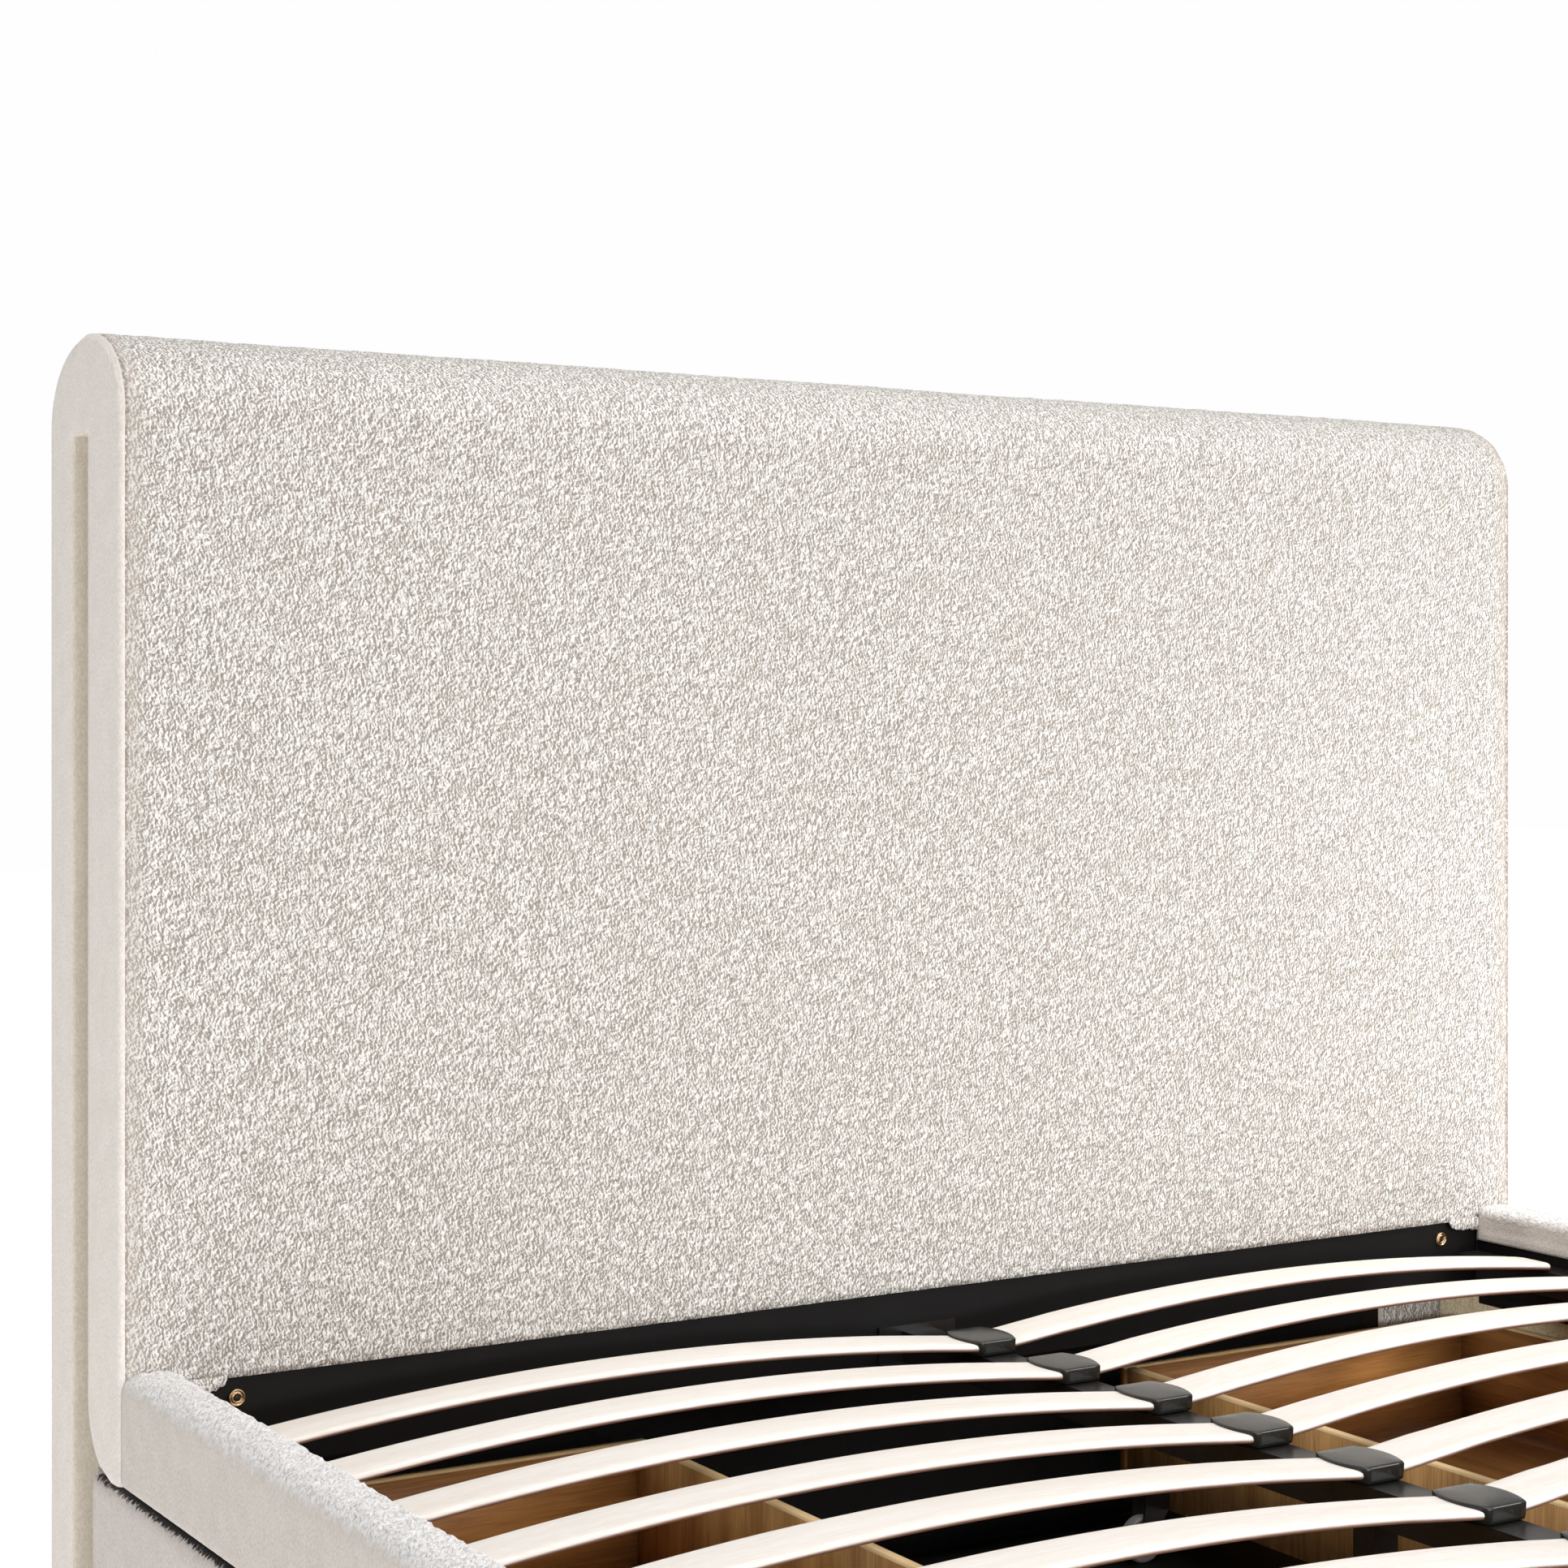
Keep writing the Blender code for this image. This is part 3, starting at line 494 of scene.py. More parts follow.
for z in spread(shoulder, COVER_BOTTOM, COARSE):
    share = (z - COVER_BOTTOM) / (shoulder - COVER_BOTTOM)
    path.append(((HEAD_BACK, z), (GROOVE_BACK, COVER_BOTTOM + share * (GROOVE_TOP - COVER_BOTTOM))))
print("band path of", len(path), "steps")

# %% Rings of the band
ROLL = 0.005
ROLL_ANGLES = [math.radians(d) for d in (22, 44, 66, 88)]
INNER_ROLL = 0.0025
SIDE_SWELL = 0.0008
SIDE_STEPS = 8
LOOP_LIFT = 0.0010
HEAD_INSET = -0.0010
TOP_LIFT = 0.0028


def ring_of(outer, inner):
    """One ring: (x, share of the way inwards) for each point, starting on the outside at the left."""
    depth = math.dist(outer, inner)
    half = BED_HALF - HEAD_INSET
    roll = min(ROLL, depth * 0.4)
    ring = [(x, 0.0) for x in columns]
    corner = [(half - roll + roll * math.sin(a), roll * (1 - math.cos(a))) for a in ROLL_ANGLES]
    across = [(half + SIDE_SWELL * math.sin(math.pi * i / SIDE_STEPS),
               roll + (depth - roll - INNER_ROLL) * i / SIDE_STEPS) for i in range(1, SIDE_STEPS)]
    inside = [(half - 0.0003, depth - INNER_ROLL), (half - INNER_ROLL * 0.3, depth - INNER_ROLL * 0.3),
              (half - INNER_ROLL, depth)]
    right = corner + across + inside
    ring += [(x, d / depth) for x, d in right]
    ring += [(x, 1.0) for x in spread(half - 0.10, -(half - 0.10), 0.12)]
    ring += [(-x, d / depth) for x, d in right[::-1]]
    return ring


half_flat = BED_HALF - HEAD_INSET - ROLL
rebate_edges = [REBATE_HALF, REBATE_HALF - 0.0006]
columns = sorted(spread(-half_flat, half_flat, FINE) + rebate_edges + [-x for x in rebate_edges])
columns = [x for i, x in enumerate(columns) if i == 0 or x - columns[i - 1] > 0.0004]
points = []
around = len(ring_of(*path[0]))
print(around, "points in a ring,", len(columns), "across the front")
for step_index, (outer, inner) in enumerate(path):
    ring = ring_of(outer, inner)
    for x, share in ring:
        y = outer[0] + (inner[0] - outer[0]) * share
        z = outer[1] + (inner[1] - outer[1]) * share
        if share == 0.0:
            lift = lumps((x, y, z), 0.011, LOOP_LIFT) + lumps((x, y, z), 0.16, 0.0012)
            out_y = outer[0] - middle if outer[1] > shoulder else (-1 if outer[0] < middle else 1)
            out_z = (outer[1] - shoulder) * half_depth / ROUND_RISE if outer[1] > shoulder else 0
            size = math.hypot(out_y, out_z)
            lift += TOP_LIFT * max(0.0, (outer[1] - shoulder) / ROUND_RISE) ** 0.5
            y += lift * out_y / size
            z += lift * out_z / size
            if abs(x) < REBATE_HALF - 0.0001 and outer[0] < middle and outer[1] < REBATE_TOP - 0.0001:
                y = REBATE_BACK
        points.append((x, y, z))
faces = tube_faces(len(path), around)
headboard = add_piece("headboard_cover_cloth", points, faces, headboard_cloth, "bed_frame",
                      ["headboard_cover"])
headboard.data.materials.append(limb_cloth)
headboard.data.materials.append(groove_cloth)
edge_points = len(columns) + 3
across_points = edge_points + 10
inside_points = around - 13
for i, face in enumerate(headboard.data.polygons):
    place_in_ring = i % around
    if len(face.vertices) > 4:
        face.material_index = 1
    elif edge_points <= place_in_ring < across_points or place_in_ring > inside_points:
        face.material_index = 1
    elif across_points <= place_in_ring:
        face.material_index = 2
print("headboard", len(points), "points")

# %% [markdown]
# The edge of the cloth isn't straight all the way: beside each rail a tab of it hangs over the black
# board. A loop of points with a ragged lower edge gives the tab.

# %% Cloth tabs
TAB_WIDE = 0.044
TAB_DROP = 0.0095


def cloth_tab(side, sign):
    """A small curtain: columns of points, each with a lower end that wavers."""
    start = sign * (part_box("head_cross_rail")[1].x - 0.0004)
    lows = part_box("head_cross_rail")[1].z
    wide = spread(0.0, 1.0, 1 / 22)
    points = []
    for share in wide:
        x = start - sign * TAB_WIDE * share
        drop = TAB_DROP * math.sqrt(max(0.0, 1 - share ** 3)) + lumps((x, 0, 1), 0.0035, 0.0022) + 0.001
        section = [(-0.0002, lows + 0.004), (-0.0018, lows + 0.002), (-0.0024, lows - drop * 0.5),
                   (-0.0018, lows - drop + 0.0006), (-0.0009, lows - drop), (-0.0002, lows - drop + 0.0006)]
        points += [(x, HEAD_FRONT + y, z) for y, z in section]
    faces = tube_faces(len(wide), 6)
    if sign > 0:
        faces = [face[::-1] for face in faces]
    return add_piece("headboard_tab_" + side, points, faces, headboard_cloth, "bed_frame",
                     ["headboard_cover"])


for side, sign in (("left", -1), ("right", 1)):
    cloth_tab(side, sign)
print("cloth tabs")

# %% [markdown]
# ## Inside the groove
# Between the two limbs a recessed post at each side is wrapped with the same cloth, and the boards
# between the posts are lined with black. Low down, a thin foot of each post reaches behind the end of
# a drawer front. A padded block helper makes such pieces: a close grid on a box whose corners are
# rounded, with each face swelling a little towards its middle.

# %% Padded block
def padded_block(name, low, high, radius, step, crown, material, body, stands_for=(), rough=0.0004):
    """A closed pillow-like block that stays within low and high."""
    low, high = Vector(low), Vector(high)
    size = high - low
    index = {}
    points = []
    faces = []
    grid = [spread(0.0, 1.0, min(0.5, step / size[a])) for a in range(3)]

    def corner(shares):
        key = tuple(round(s, 5) for s in shares)
        if key in index:
            return index[key]
        swell = [4 * s * (1 - s) for s in shares]
        inner_low = Vector([radius + crown] * 3)
        spot = Vector([shares[a] * size[a] for a in range(3)])
        core = Vector([min(max(spot[a], inner_low[a]), size[a] - inner_low[a]) for a in range(3)])
        way = spot - core
        if way.length == 0:
            way = Vector((0, 0, 1))
        way.normalize()
        lift = radius
        for a in range(3):
            others = [swell[b] for b in range(3) if b != a]
            lift += abs(way[a]) ** 2 * crown * min(1.0, math.sqrt(others[0] * others[1]) * 1.6)
        spot = low + core + way * (lift + lumps(low + spot, 0.009, rough))
        index[key] = len(points)
        points.append(spot)
        return index[key]

    for a in range(3):
        b, c = (a + 1) % 3, (a + 2) % 3
        for end in (0.0, 1.0):
            for i in range(len(grid[b]) - 1):
                for j in range(len(grid[c]) - 1):
                    quad = []
                    for s, t in ((i, j), (i + 1, j), (i + 1, j + 1), (i, j + 1)):
                        shares = [0.0] * 3
                        shares[a], shares[b], shares[c] = end, grid[b][s], grid[c][t]
                        quad.append(corner(shares))
                    faces.append(tuple(quad if end else quad[::-1]))
    return add_piece(name, points, faces, material, body, stands_for)


POST_WIDTH = 0.0775
spacer_low, spacer_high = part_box("headboard_spacer")
POST_SWELL = 0.0045
for side, sign in (("left", -1), ("right", 1)):
    x = sorted((sign * (spacer_high.x + POST_SWELL), sign * (spacer_high.x - POST_WIDTH)))
    post = padded_block("headboard_post_" + side, (x[0], spacer_low.y, spacer_low.z),
                        (x[1], spacer_high.y, spacer_high.z), 0.004, 0.012, 0.0015,
                        groove_cloth, "bed_frame", ["headboard_spacer"])
    post.data.materials.append(headboard_cloth)
    for face in post.data.polygons:
        face.material_index = 1 if face.normal.y < -0.5 else 0
    foot_x = sorted((sign * (spacer_high.x - 0.030), sign * (spacer_high.x + 0.0255)))
    foot_low = (foot_x[0], spacer_low.y + 0.0004, spacer_low.z)
    foot_high = (foot_x[1], spacer_low.y + 0.0054, RAIL_LOW - 0.004)
    post_foot = padded_block("headboard_post_foot_" + side, foot_low, foot_high, 0.0015, 0.006, 0.0005,
                             headboard_cloth, "bed_frame", ["headboard_spacer"])
lining_half = spacer_high.x - POST_WIDTH - 0.001
lining = padded_block("headboard_lining", (-lining_half, spacer_low.y + 0.002, spacer_low.z),
                      (lining_half, spacer_high.y - 0.002, spacer_high.z), 0.003, 0.03, 0.001,
                      black_board, "bed_frame", ["headboard_spacer"])
print("groove posts and lining")

# %% [markdown]
# ## The side rails
# A rail is a black board with padding over its top and outer face. The cloth is pulled over both and
# tucked in on the inside, so its section is a hook with a round outer shoulder. The section is swept
# along the rail in short steps, so that the pile can break the edge line.

# %% Side rails
RAIL_STEP = 0.0045
RAIL_THICK = 0.0495
SHOULDER = 0.015
INNER_SHOULDER = 0.009
BOARD_FACE = 0.0145
HOOK_DEPTH = 0.0252


def rail_section():
    """The cover's outline in (distance in from the outer face, z), running outside, top, inside, under."""
    low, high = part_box("side_rail_cover_left")
    thick = high.x - low.x
    top = high.z
    outer = [(0.0048, low.z + 0.0004), (0.0022, low.z + 0.0015), (0.0006, low.z + 0.0035)]
    outer += [(0.0, z) for z in spread(low.z + 0.006, top - SHOULDER, 0.006)]
    shoulder_arc = []
    for i in range(1, 9):
        a = math.radians(i * 90 / 9)
        shoulder_arc.append((SHOULDER * (1 - math.cos(a)), top - SHOULDER + SHOULDER * math.sin(a)))
    crown = [(d, top) for d in spread(SHOULDER + 0.002, thick - INNER_SHOULDER, 0.0045)]
    inner_arc = []
    for i in range(1, 5):
        a = math.radians(i * 90 / 4)
        across = thick - INNER_SHOULDER * (1 - math.sin(a))
        inner_arc.append((across, top - INNER_SHOULDER * (1 - math.cos(a))))
    drop = [(thick, z) for z in spread(top - 0.012, top - HOOK_DEPTH + 0.0004, 0.004)]
    drop += [(thick + 0.0012, z) for z in spread(top - 0.028, top - 0.0365, 0.003)]
    under = [(thick + 0.0004, top - 0.0372), (thick + 0.0002, top - HOOK_DEPTH - 0.0004),
             (thick - 0.0047, top - HOOK_DEPTH), (thick - 0.0047, top - 0.0177), (BOARD_FACE, top - 0.0177),
             (BOARD_FACE, low.z + 0.001), (BOARD_FACE - 0.002, low.z), (0.008, low.z)]
    return outer + shoulder_arc + crown + inner_arc + drop, under


def make_side_rail(side, sign):
    low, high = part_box("side_rail_cover_" + side)
    seen, hidden = rail_section()
    outline = seen + hidden
    outer_x = high.x if sign > 0 else low.x
    top = high.z
    points = []
    stations = spread(low.y, high.y, RAIL_STEP)
    for y in stations:
        for i, (depth, z) in enumerate(outline):
            x = outer_x - sign * depth
            if i < len(seen):
                sag = lumps((x, y, z), 0.22, 0.0009)
                pile = max(0.0, min(1.0, (z - (top - 0.02)) / 0.02))
                fuzz = lumps((x, y, z), 0.0048, 0.0004 + 0.0021 * pile)
                flat = max(0.0, min(depth, RAIL_THICK - depth)) / 0.02
                z = z - 0.0016 + (sag + fuzz) * pile + 0.0012 * pile * min(1.0, flat)
                x -= sign * (0.0006 + fuzz * (1 - pile) + sag * 0.4)
            points.append((x, y, z))
    faces = tube_faces(len(stations), len(outline))
    if sign > 0:
        faces = [face[::-1] for face in faces]
    rail = add_piece("side_rail_cloth_" + side, points, faces, rail_cloth, "bed_frame",
                     ["side_rail_cover_" + side])
    return rail


for side, sign in (("left", -1), ("right", 1)):
    rail = make_side_rail(side, sign)
    print(rail.name, len(rail.data.vertices), "points")

# %% [markdown]
# A black tape under each rail and a black skirt that hangs from the rail's board behind the drawer fronts
# stand in for the shade in the narrow gap between a rail and the drawer front below it: painted shadow,
# made as dark pieces. A narrow black bead closes the corner where a rail meets the board across the
# headboard.

# %% Tape under the rails
SHADE_TAPE = (0.0075, 0.0260, 0.0016)
SHADE_SKIRT_DROP = 0.0150
for side, sign in (("left", -1), ("right", 1)):
    low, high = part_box("side_rail_cover_" + side)
    outer_x = high.x if sign > 0 else low.x
    x = sorted((outer_x - sign * SHADE_TAPE[0], outer_x - sign * SHADE_TAPE[1]))
    # Painted shadow: the black tape and the black skirt stand in for the shade in the gap under the rail.
    padded_block("rail_shade_tape_" + side, (x[0], low.y, low.z - SHADE_TAPE[2]), (x[1], high.y, low.z + 0.0004),
                 0.0006, 0.02, 0.0, black_board, "bed_frame", rough=0.0002)
    inner_x = low.x if sign > 0 else high.x
    x = sorted((inner_x + sign * 0.0006, inner_x + sign * 0.0026))
    padded_block("rail_shade_skirt_" + side, (x[0], low.y, low.z - SHADE_SKIRT_DROP), (x[1], high.y, low.z - 0.0002),
                 0.0008, 0.02, 0.0, black_board, "bed_frame", rough=0.0003)
    cross_low, cross_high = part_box("head_cross_rail")
    x = sorted((sign * (cross_high.x - 0.0010), sign * (cross_high.x + 0.0037)))
    padded_block("rail_corner_bead_" + side, (x[0], HEAD_FRONT + 0.0006, cross_low.z + 0.0010),
                 (x[1], cross_low.y - 0.0002, cross_high.z - 0.0010), 0.0004, 0.02, 0.0, black_board,
                 "bed_frame", rough=0.0)
print("tapes, skirts and corner beads")

# %% [markdown]
# ## The foot rail
# The foot end is a low board padded on both faces and wrapped down to the floor.

# %% Foot rail
low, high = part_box("foot_rail_cover")
foot = padded_block("foot_rail_cloth", low, high, 0.014, 0.0085, 0.0022, rail_cloth, "bed_frame",
                    ["foot_rail_cover"], rough=0.0009)
print("foot rail", len(foot.data.vertices), "points")

# %% [markdown]
# ## Slats and their holders
# A slat is a strip of birch plywood pressed into a shallow bow. Its long edges are rounded over and its
# corners are clipped round. Two slats meet in a moulded plastic holder on the middle tube. Each slat is
# swept along its bow, and its width shrinks at the ends to round the corners.

# %% Slats
SLAT_BOW = 0.023
SLAT_THICK = 0.008
SLAT_HALF_WIDTH = 0.0275
SLAT_INNER = 0.008
END_ROUND = 0.010


def slat_ring(half_width, thick):
    """A flattened ring in (y, z): the long edges are round."""
    ring = []
    for i in range(20):
        a = 2 * math.pi * i / 20
        c, s = math.cos(a), math.sin(a)
        wide = half_width * math.copysign(abs(c) ** 0.28, c)
        ring.append((wide, thick / 2 * math.copysign(abs(s) ** 0.55, s)))
    return ring


def make_slat(name, row, sign):
    low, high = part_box(row)
    y_mid = (low.y + high.y) / 2
    outer = high.x
    seat = low.z + 0.0035
    span = outer - 0.019
    points = []
    near = [SLAT_INNER + d for d in (0.0, 0.0015, 0.004, 0.008)]
    far = [outer - d for d in (0.008, 0.004, 0.0015, 0.0003)]
    stations = near + spread(SLAT_INNER + 0.03, outer - 0.03, 0.02) + far
    for x in stations:
        t = (x - 0.019) / span
        rise = SLAT_BOW * max(0.0, 1 - (2 * t - 1) ** 2) if t > 0 else 0.0
        end = min(x - SLAT_INNER, outer - x)
        cut = max(0.0, END_ROUND - end)
        width = SLAT_HALF_WIDTH - (END_ROUND - math.sqrt(max(0.0, END_ROUND ** 2 - cut ** 2)))
        thick = SLAT_THICK * (0.8 if end < 0.0005 else 1.0)
        twist = lumps((x, y_mid, sign), 0.5, 0.0012)
        for dy, dz in slat_ring(width, thick):
            z = seat + SLAT_THICK / 2 + rise + dz + (twist * dy / SLAT_HALF_WIDTH if t > 0.1 else 0)
            points.append((sign * x, y_mid + dy, z))
    faces = tube_faces(len(stations), 20)
    if sign < 0:
        faces = [face[::-1] for face in faces]
    return add_piece(name, points, faces, birch, "bed_frame", [row])


rows = sorted(name for name in NODES if name.startswith("slat_row_"))
for row in rows:
    tag = row[-2:]
    make_slat("slat_left_" + tag, row, -1)
    make_slat("slat_right_" + tag, row, 1)
print(2 * len(rows), "slats")

# %% [markdown]
# The holder is a short flat sleeve that sits on the tube. Its top is a plate whose two ends bulge over
# the slats in a curve. Rings of one outline, stacked from the tube up and then drawn in over the top,
# make the closed shape.

# %% Holders
HOLDER_HALF_Y = 0.0300
HOLDER_END = 0.0200
HOLDER_BULGE = 0.0085
HOLDER_HEIGHT = 0.0150


def holder_outline():
    """The sleeve from above: straight sides, and ends that bulge in the middle."""
    outline = []
    count = 14
    for i in range(count + 1):
        v = 2 * i / count - 1
        outline.append((HOLDER_END + HOLDER_BULGE * (1 - v * v), v * HOLDER_HALF_Y))
    outline += [(HOLDER_END * (1 - 2 * j / 6), HOLDER_HALF_Y) for j in range(1, 6)]
    for i in range(count + 1):
        v = 1 - 2 * i / count
        outline.append((-HOLDER_END - HOLDER_BULGE * (1 - v * v), v * HOLDER_HALF_Y))
    outline += [(-HOLDER_END * (1 - 2 * j / 6), -HOLDER_HALF_Y) for j in range(1, 6)]
    return outline


def make_holder(name, row):
    low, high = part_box(row)
    y_mid = (low.y + high.y) / 2
    bottom, top = low.z, low.z + HOLDER_HEIGHT
    outline = holder_outline()
    layers = [(bottom, 0.90), (bottom + 0.0012, 0.965), (bottom + 0.004, 0.985), (top - 0.0020, 1.0),
              (top - 0.0010, 0.996), (top - 0.0003, 0.980), (top + 0.0000, 0.96), (top + 0.0003, 0.90),
              (top + 0.0009, 0.6), (top + 0.0012, 0.3), (top + 0.0012, 0.08)]
    points = []
    for z, size in layers:
        for x, y in outline:
            points.append((x * size, y_mid + y * size, z))
    faces = tube_faces(len(layers), len(outline))
    return add_piece(name, points, faces, holder_plastic, "bed_frame", [row])


for row in rows:
    make_holder("slat_holder_" + row[-2:], row)
print(len(rows), "holders")

# %% [markdown]
# ## Black boards, steel and plywood
# These CAD solids have the right shape, so they stay and only get a finish.

# %% Finishes on CAD solids
def finish_node(name, material):
    obj = NODES[name]
    for slot in obj.material_slots:
        slot.material = material


for name in NODES:
    if name.startswith(("centre_rail", "centre_leg", "slat_ledger")):
        finish_node(name, black_steel)
    elif name.startswith(("side_rail_board", "head_cross_rail")):
        finish_node(name, black_board)
    elif name.startswith(("headboard_front_panel", "headboard_back_panel", "foot_board")):
        finish_node(name, plywood)
print("CAD solids finished")

# %% [markdown]
# ## Painted shade under the bed
# A thin black sheet lies on the floor under the middle of the bed, between the backs of the drawers. It
# is painted shadow: it stands in for the shade there, so that the bed looks dark between its slats. It is
# one closed skin.

# %% Shade sheet
SHEET_HALF = 0.440
SHEET_THICK = 0.0003
sheet_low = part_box("foot_board")[1].y + 0.006
sheet_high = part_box("headboard_back_panel")[0].y - 0.001
sheet_x = spread(-SHEET_HALF, SHEET_HALF, 0.02)
sheet_y = spread(sheet_low, sheet_high, 0.02)
points = []
faces = []
for z in (0.0, SHEET_THICK):
    points += [(x, y, z) for y in sheet_y for x in sheet_x]
wide, layer = len(sheet_x), len(sheet_x) * len(sheet_y)
for j in range(len(sheet_y) - 1):
    for i in range(wide - 1):
        k = j * wide + i
        faces.append((k, k + wide, k + wide + 1, k + 1))
        faces.append((layer + k, layer + k + 1, layer + k + wide + 1, layer + k + wide))
rim = list(range(wide)) + [j * wide + wide - 1 for j in range(1, len(sheet_y))]
rim += [(len(sheet_y) - 1) * wide + i for i in range(wide - 2, -1, -1)]
rim += [j * wide for j in range(len(sheet_y) - 2, 0, -1)]
for a, b in zip(rim, rim[1:] + rim[:1]):
    faces.append((a, b, layer + b, layer + a))
# Painted shadow: a black sheet where the underside of the bed has only shade.
shade_sheet = add_piece("shade_sheet", points, faces, black_board, "bed_frame")
print("dust sheet", round(2 * SHEET_HALF, 3), "by", round(sheet_high - sheet_low, 3))

# %% [markdown]
# ## Connector bolts
# Each bolt joins a rail to the headboard. What shows is a flanged collar, a dark ring, a smaller collar
# and the dark hexagonal socket. Turned profiles round the bolt's axis make them. The small moulding
# mark on the near side of each slat holder is turned in the same way.

# %% Bolts
def turned_piece(name, profile, centre, axis, steps, material, body, stands_for=()):
    """A profile of (radius, distance along the axis) turned round the axis "X" or "Y" through centre."""
    rings = []
    for radius, reach in profile:
        ring = []
        for i in range(steps):
            a = 2 * math.pi * i / steps
            flat = (radius * math.cos(a), radius * math.sin(a))
            if axis == "Y":
                ring.append((centre[0] + flat[0], centre[1] + reach, centre[2] + flat[1]))
            else:
                ring.append((centre[0] + reach, centre[1] + flat[0], centre[2] + flat[1]))
        rings.append(ring)
    points = [p for ring in rings for p in ring]
    return add_piece(name, points, tube_faces(len(rings), steps), material, body, stands_for)


for side in ("left", "right"):
    node = "connector_bolt_" + side
    low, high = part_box(node)
    centre = ((low.x + high.x) / 2, low.y, (low.z + high.z) / 2)
    collar = [(0.0030, 0.0120), (0.0030, 0.0030), (0.0075, 0.0030), (0.0078, 0.0024), (0.0076, 0.0008),
              (0.0070, 0.0000), (0.0062, 0.0001), (0.0056, 0.0012), (0.0052, 0.0014), (0.0048, 0.0004),
              (0.0042, 0.0001), (0.0036, 0.0002), (0.0031, 0.0010), (0.0029, 0.0018)]
    turned_piece("bolt_collar_" + side, collar, centre, "Y", 32, brass, "bed_frame", [node])
    socket = [(0.0029, 0.0025), (0.0030, 0.0015), (0.0028, 0.0010)]
    turned_piece("bolt_socket_" + side, socket, centre, "Y", 6, dark_socket, "bed_frame",
                 [node])
for row in rows:
    low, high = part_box(row)
    pin = ((low.x + high.x) / 2 + 0.004, (low.y + high.y) / 2 - HOLDER_HALF_Y, low.z + 0.0085)
    mark = [(0.0001, 0.0022), (0.0019, 0.0022), (0.0019, 0.0002), (0.0014, -0.0002), (0.0010, 0.0005),
            (0.0001, 0.0005)]
    turned_piece("holder_pin_" + row[-2:], mark, pin, "Y", 16, dark_socket, "bed_frame",
                 [row])
print("bolts and pin marks")

# %% [markdown]
# ## Drawers
# A drawer is an open oak box on four wheels, with a padded front that hides it. Each board is a piece
# with its grain along its length. The top edges of the boards are paler. Two
# brass screws hold the front to the box.

# %% Drawer boards
def board(name, low, high, ease, material, body, stands_for):
    """A board whose edges are eased by a small radius."""
    return padded_block(name, low, high, ease, 0.25, 0.0, material, body, stands_for, rough=0.0)


WALL = 0.012
BOX_BACK = 0.289
BOX_BASE = 0.052
FLOOR_RISE = 0.006
BOARD_EASE = 0.0012
SCREW_FROM_END = 0.139
SCREW_HEIGHT = 0.114
drawers = sorted(name[len("drawer_box_"):] for name in NODES if name.startswith("drawer_box_"))
for tag in drawers:
    node = "drawer_box_" + tag
    body = "drawer_" + tag
    low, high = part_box(node)
    sign = 1 if high.x > 0 else -1
    inner = BOX_BACK * sign
    outer = high.x if sign > 0 else low.x
    y0, y1 = low.y, high.y
    base, top = BOX_BASE, high.z
    near, far = sorted((inner, outer))
    walls = {
        "head_wall": ((near, y1 - WALL, base), (far, y1, top), oak_short_shaded),
        "foot_wall": ((near, y0, base), (far, y0 + WALL, top), oak_short_shaded),
        "back_wall": ((min(inner, inner + sign * WALL), y0 + WALL, base),
                      (max(inner, inner + sign * WALL), y1 - WALL, top), oak_upright),
        "front_wall": ((min(outer, outer - sign * WALL), y0 + WALL, base),
                       (max(outer, outer - sign * WALL), y1 - WALL, top), oak_long_shaded),
        "floor": ((near + WALL, y0 + WALL, base + FLOOR_RISE),
                  (far - WALL, y1 - WALL, base + 2 * FLOOR_RISE), oak_long_shaded),
    }
    for part, (start, end, material) in walls.items():
        board(f"drawer_{part}_{tag}", start, end, BOARD_EASE, material, body, [node])
    for end, y in (("head", y1 - SCREW_FROM_END), ("foot", y0 + SCREW_FROM_END)):
        face = outer - sign * WALL
        head = [(0.0001, -sign * 0.0014), (0.0022, -sign * 0.0014), (0.0034, -sign * 0.0010),
                (0.0042, -sign * 0.0002), (0.0042, sign * 0.0004), (0.0018, sign * 0.0006),
                (0.0018, sign * 0.0080), (0.0001, sign * 0.0090)]
        turned_piece(f"drawer_screw_{end}_{tag}", head, (face, y, SCREW_HEIGHT), "X", 20, brass, body,
                     [node])
print(len(drawers), "drawer boxes")

# %% [markdown]
# The drawer fronts are thin boards padded and wrapped: crowned, with soft edges. The inner face, which
# lies in shade, has a paler, warmer copy of the cloth: painted light.

# %% Drawer fronts
for tag in drawers:
    node = "drawer_front_" + tag
    low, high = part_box(node)
    front = padded_block("drawer_front_cloth_" + tag, low, high, 0.0055, 0.0085, 0.0022, drawer_cloth,
                         "drawer_" + tag, [node], rough=0.0006)
    front.data.materials.append(inner_lit_cloth)
    sign = 1 if high.x > 0 else -1
    for face in front.data.polygons:
        face.material_index = 1 if face.normal.x * sign < -0.7 else 0
print(len(drawers), "drawer fronts")

# %% [markdown]
# ## Wheels and brackets
# Each wheel is a moulded tyre on an axle, between two steel cheeks. The cheeks of the wheels behind the
# box are fixed to its back wall, and those of the wheels under the front to its underside.

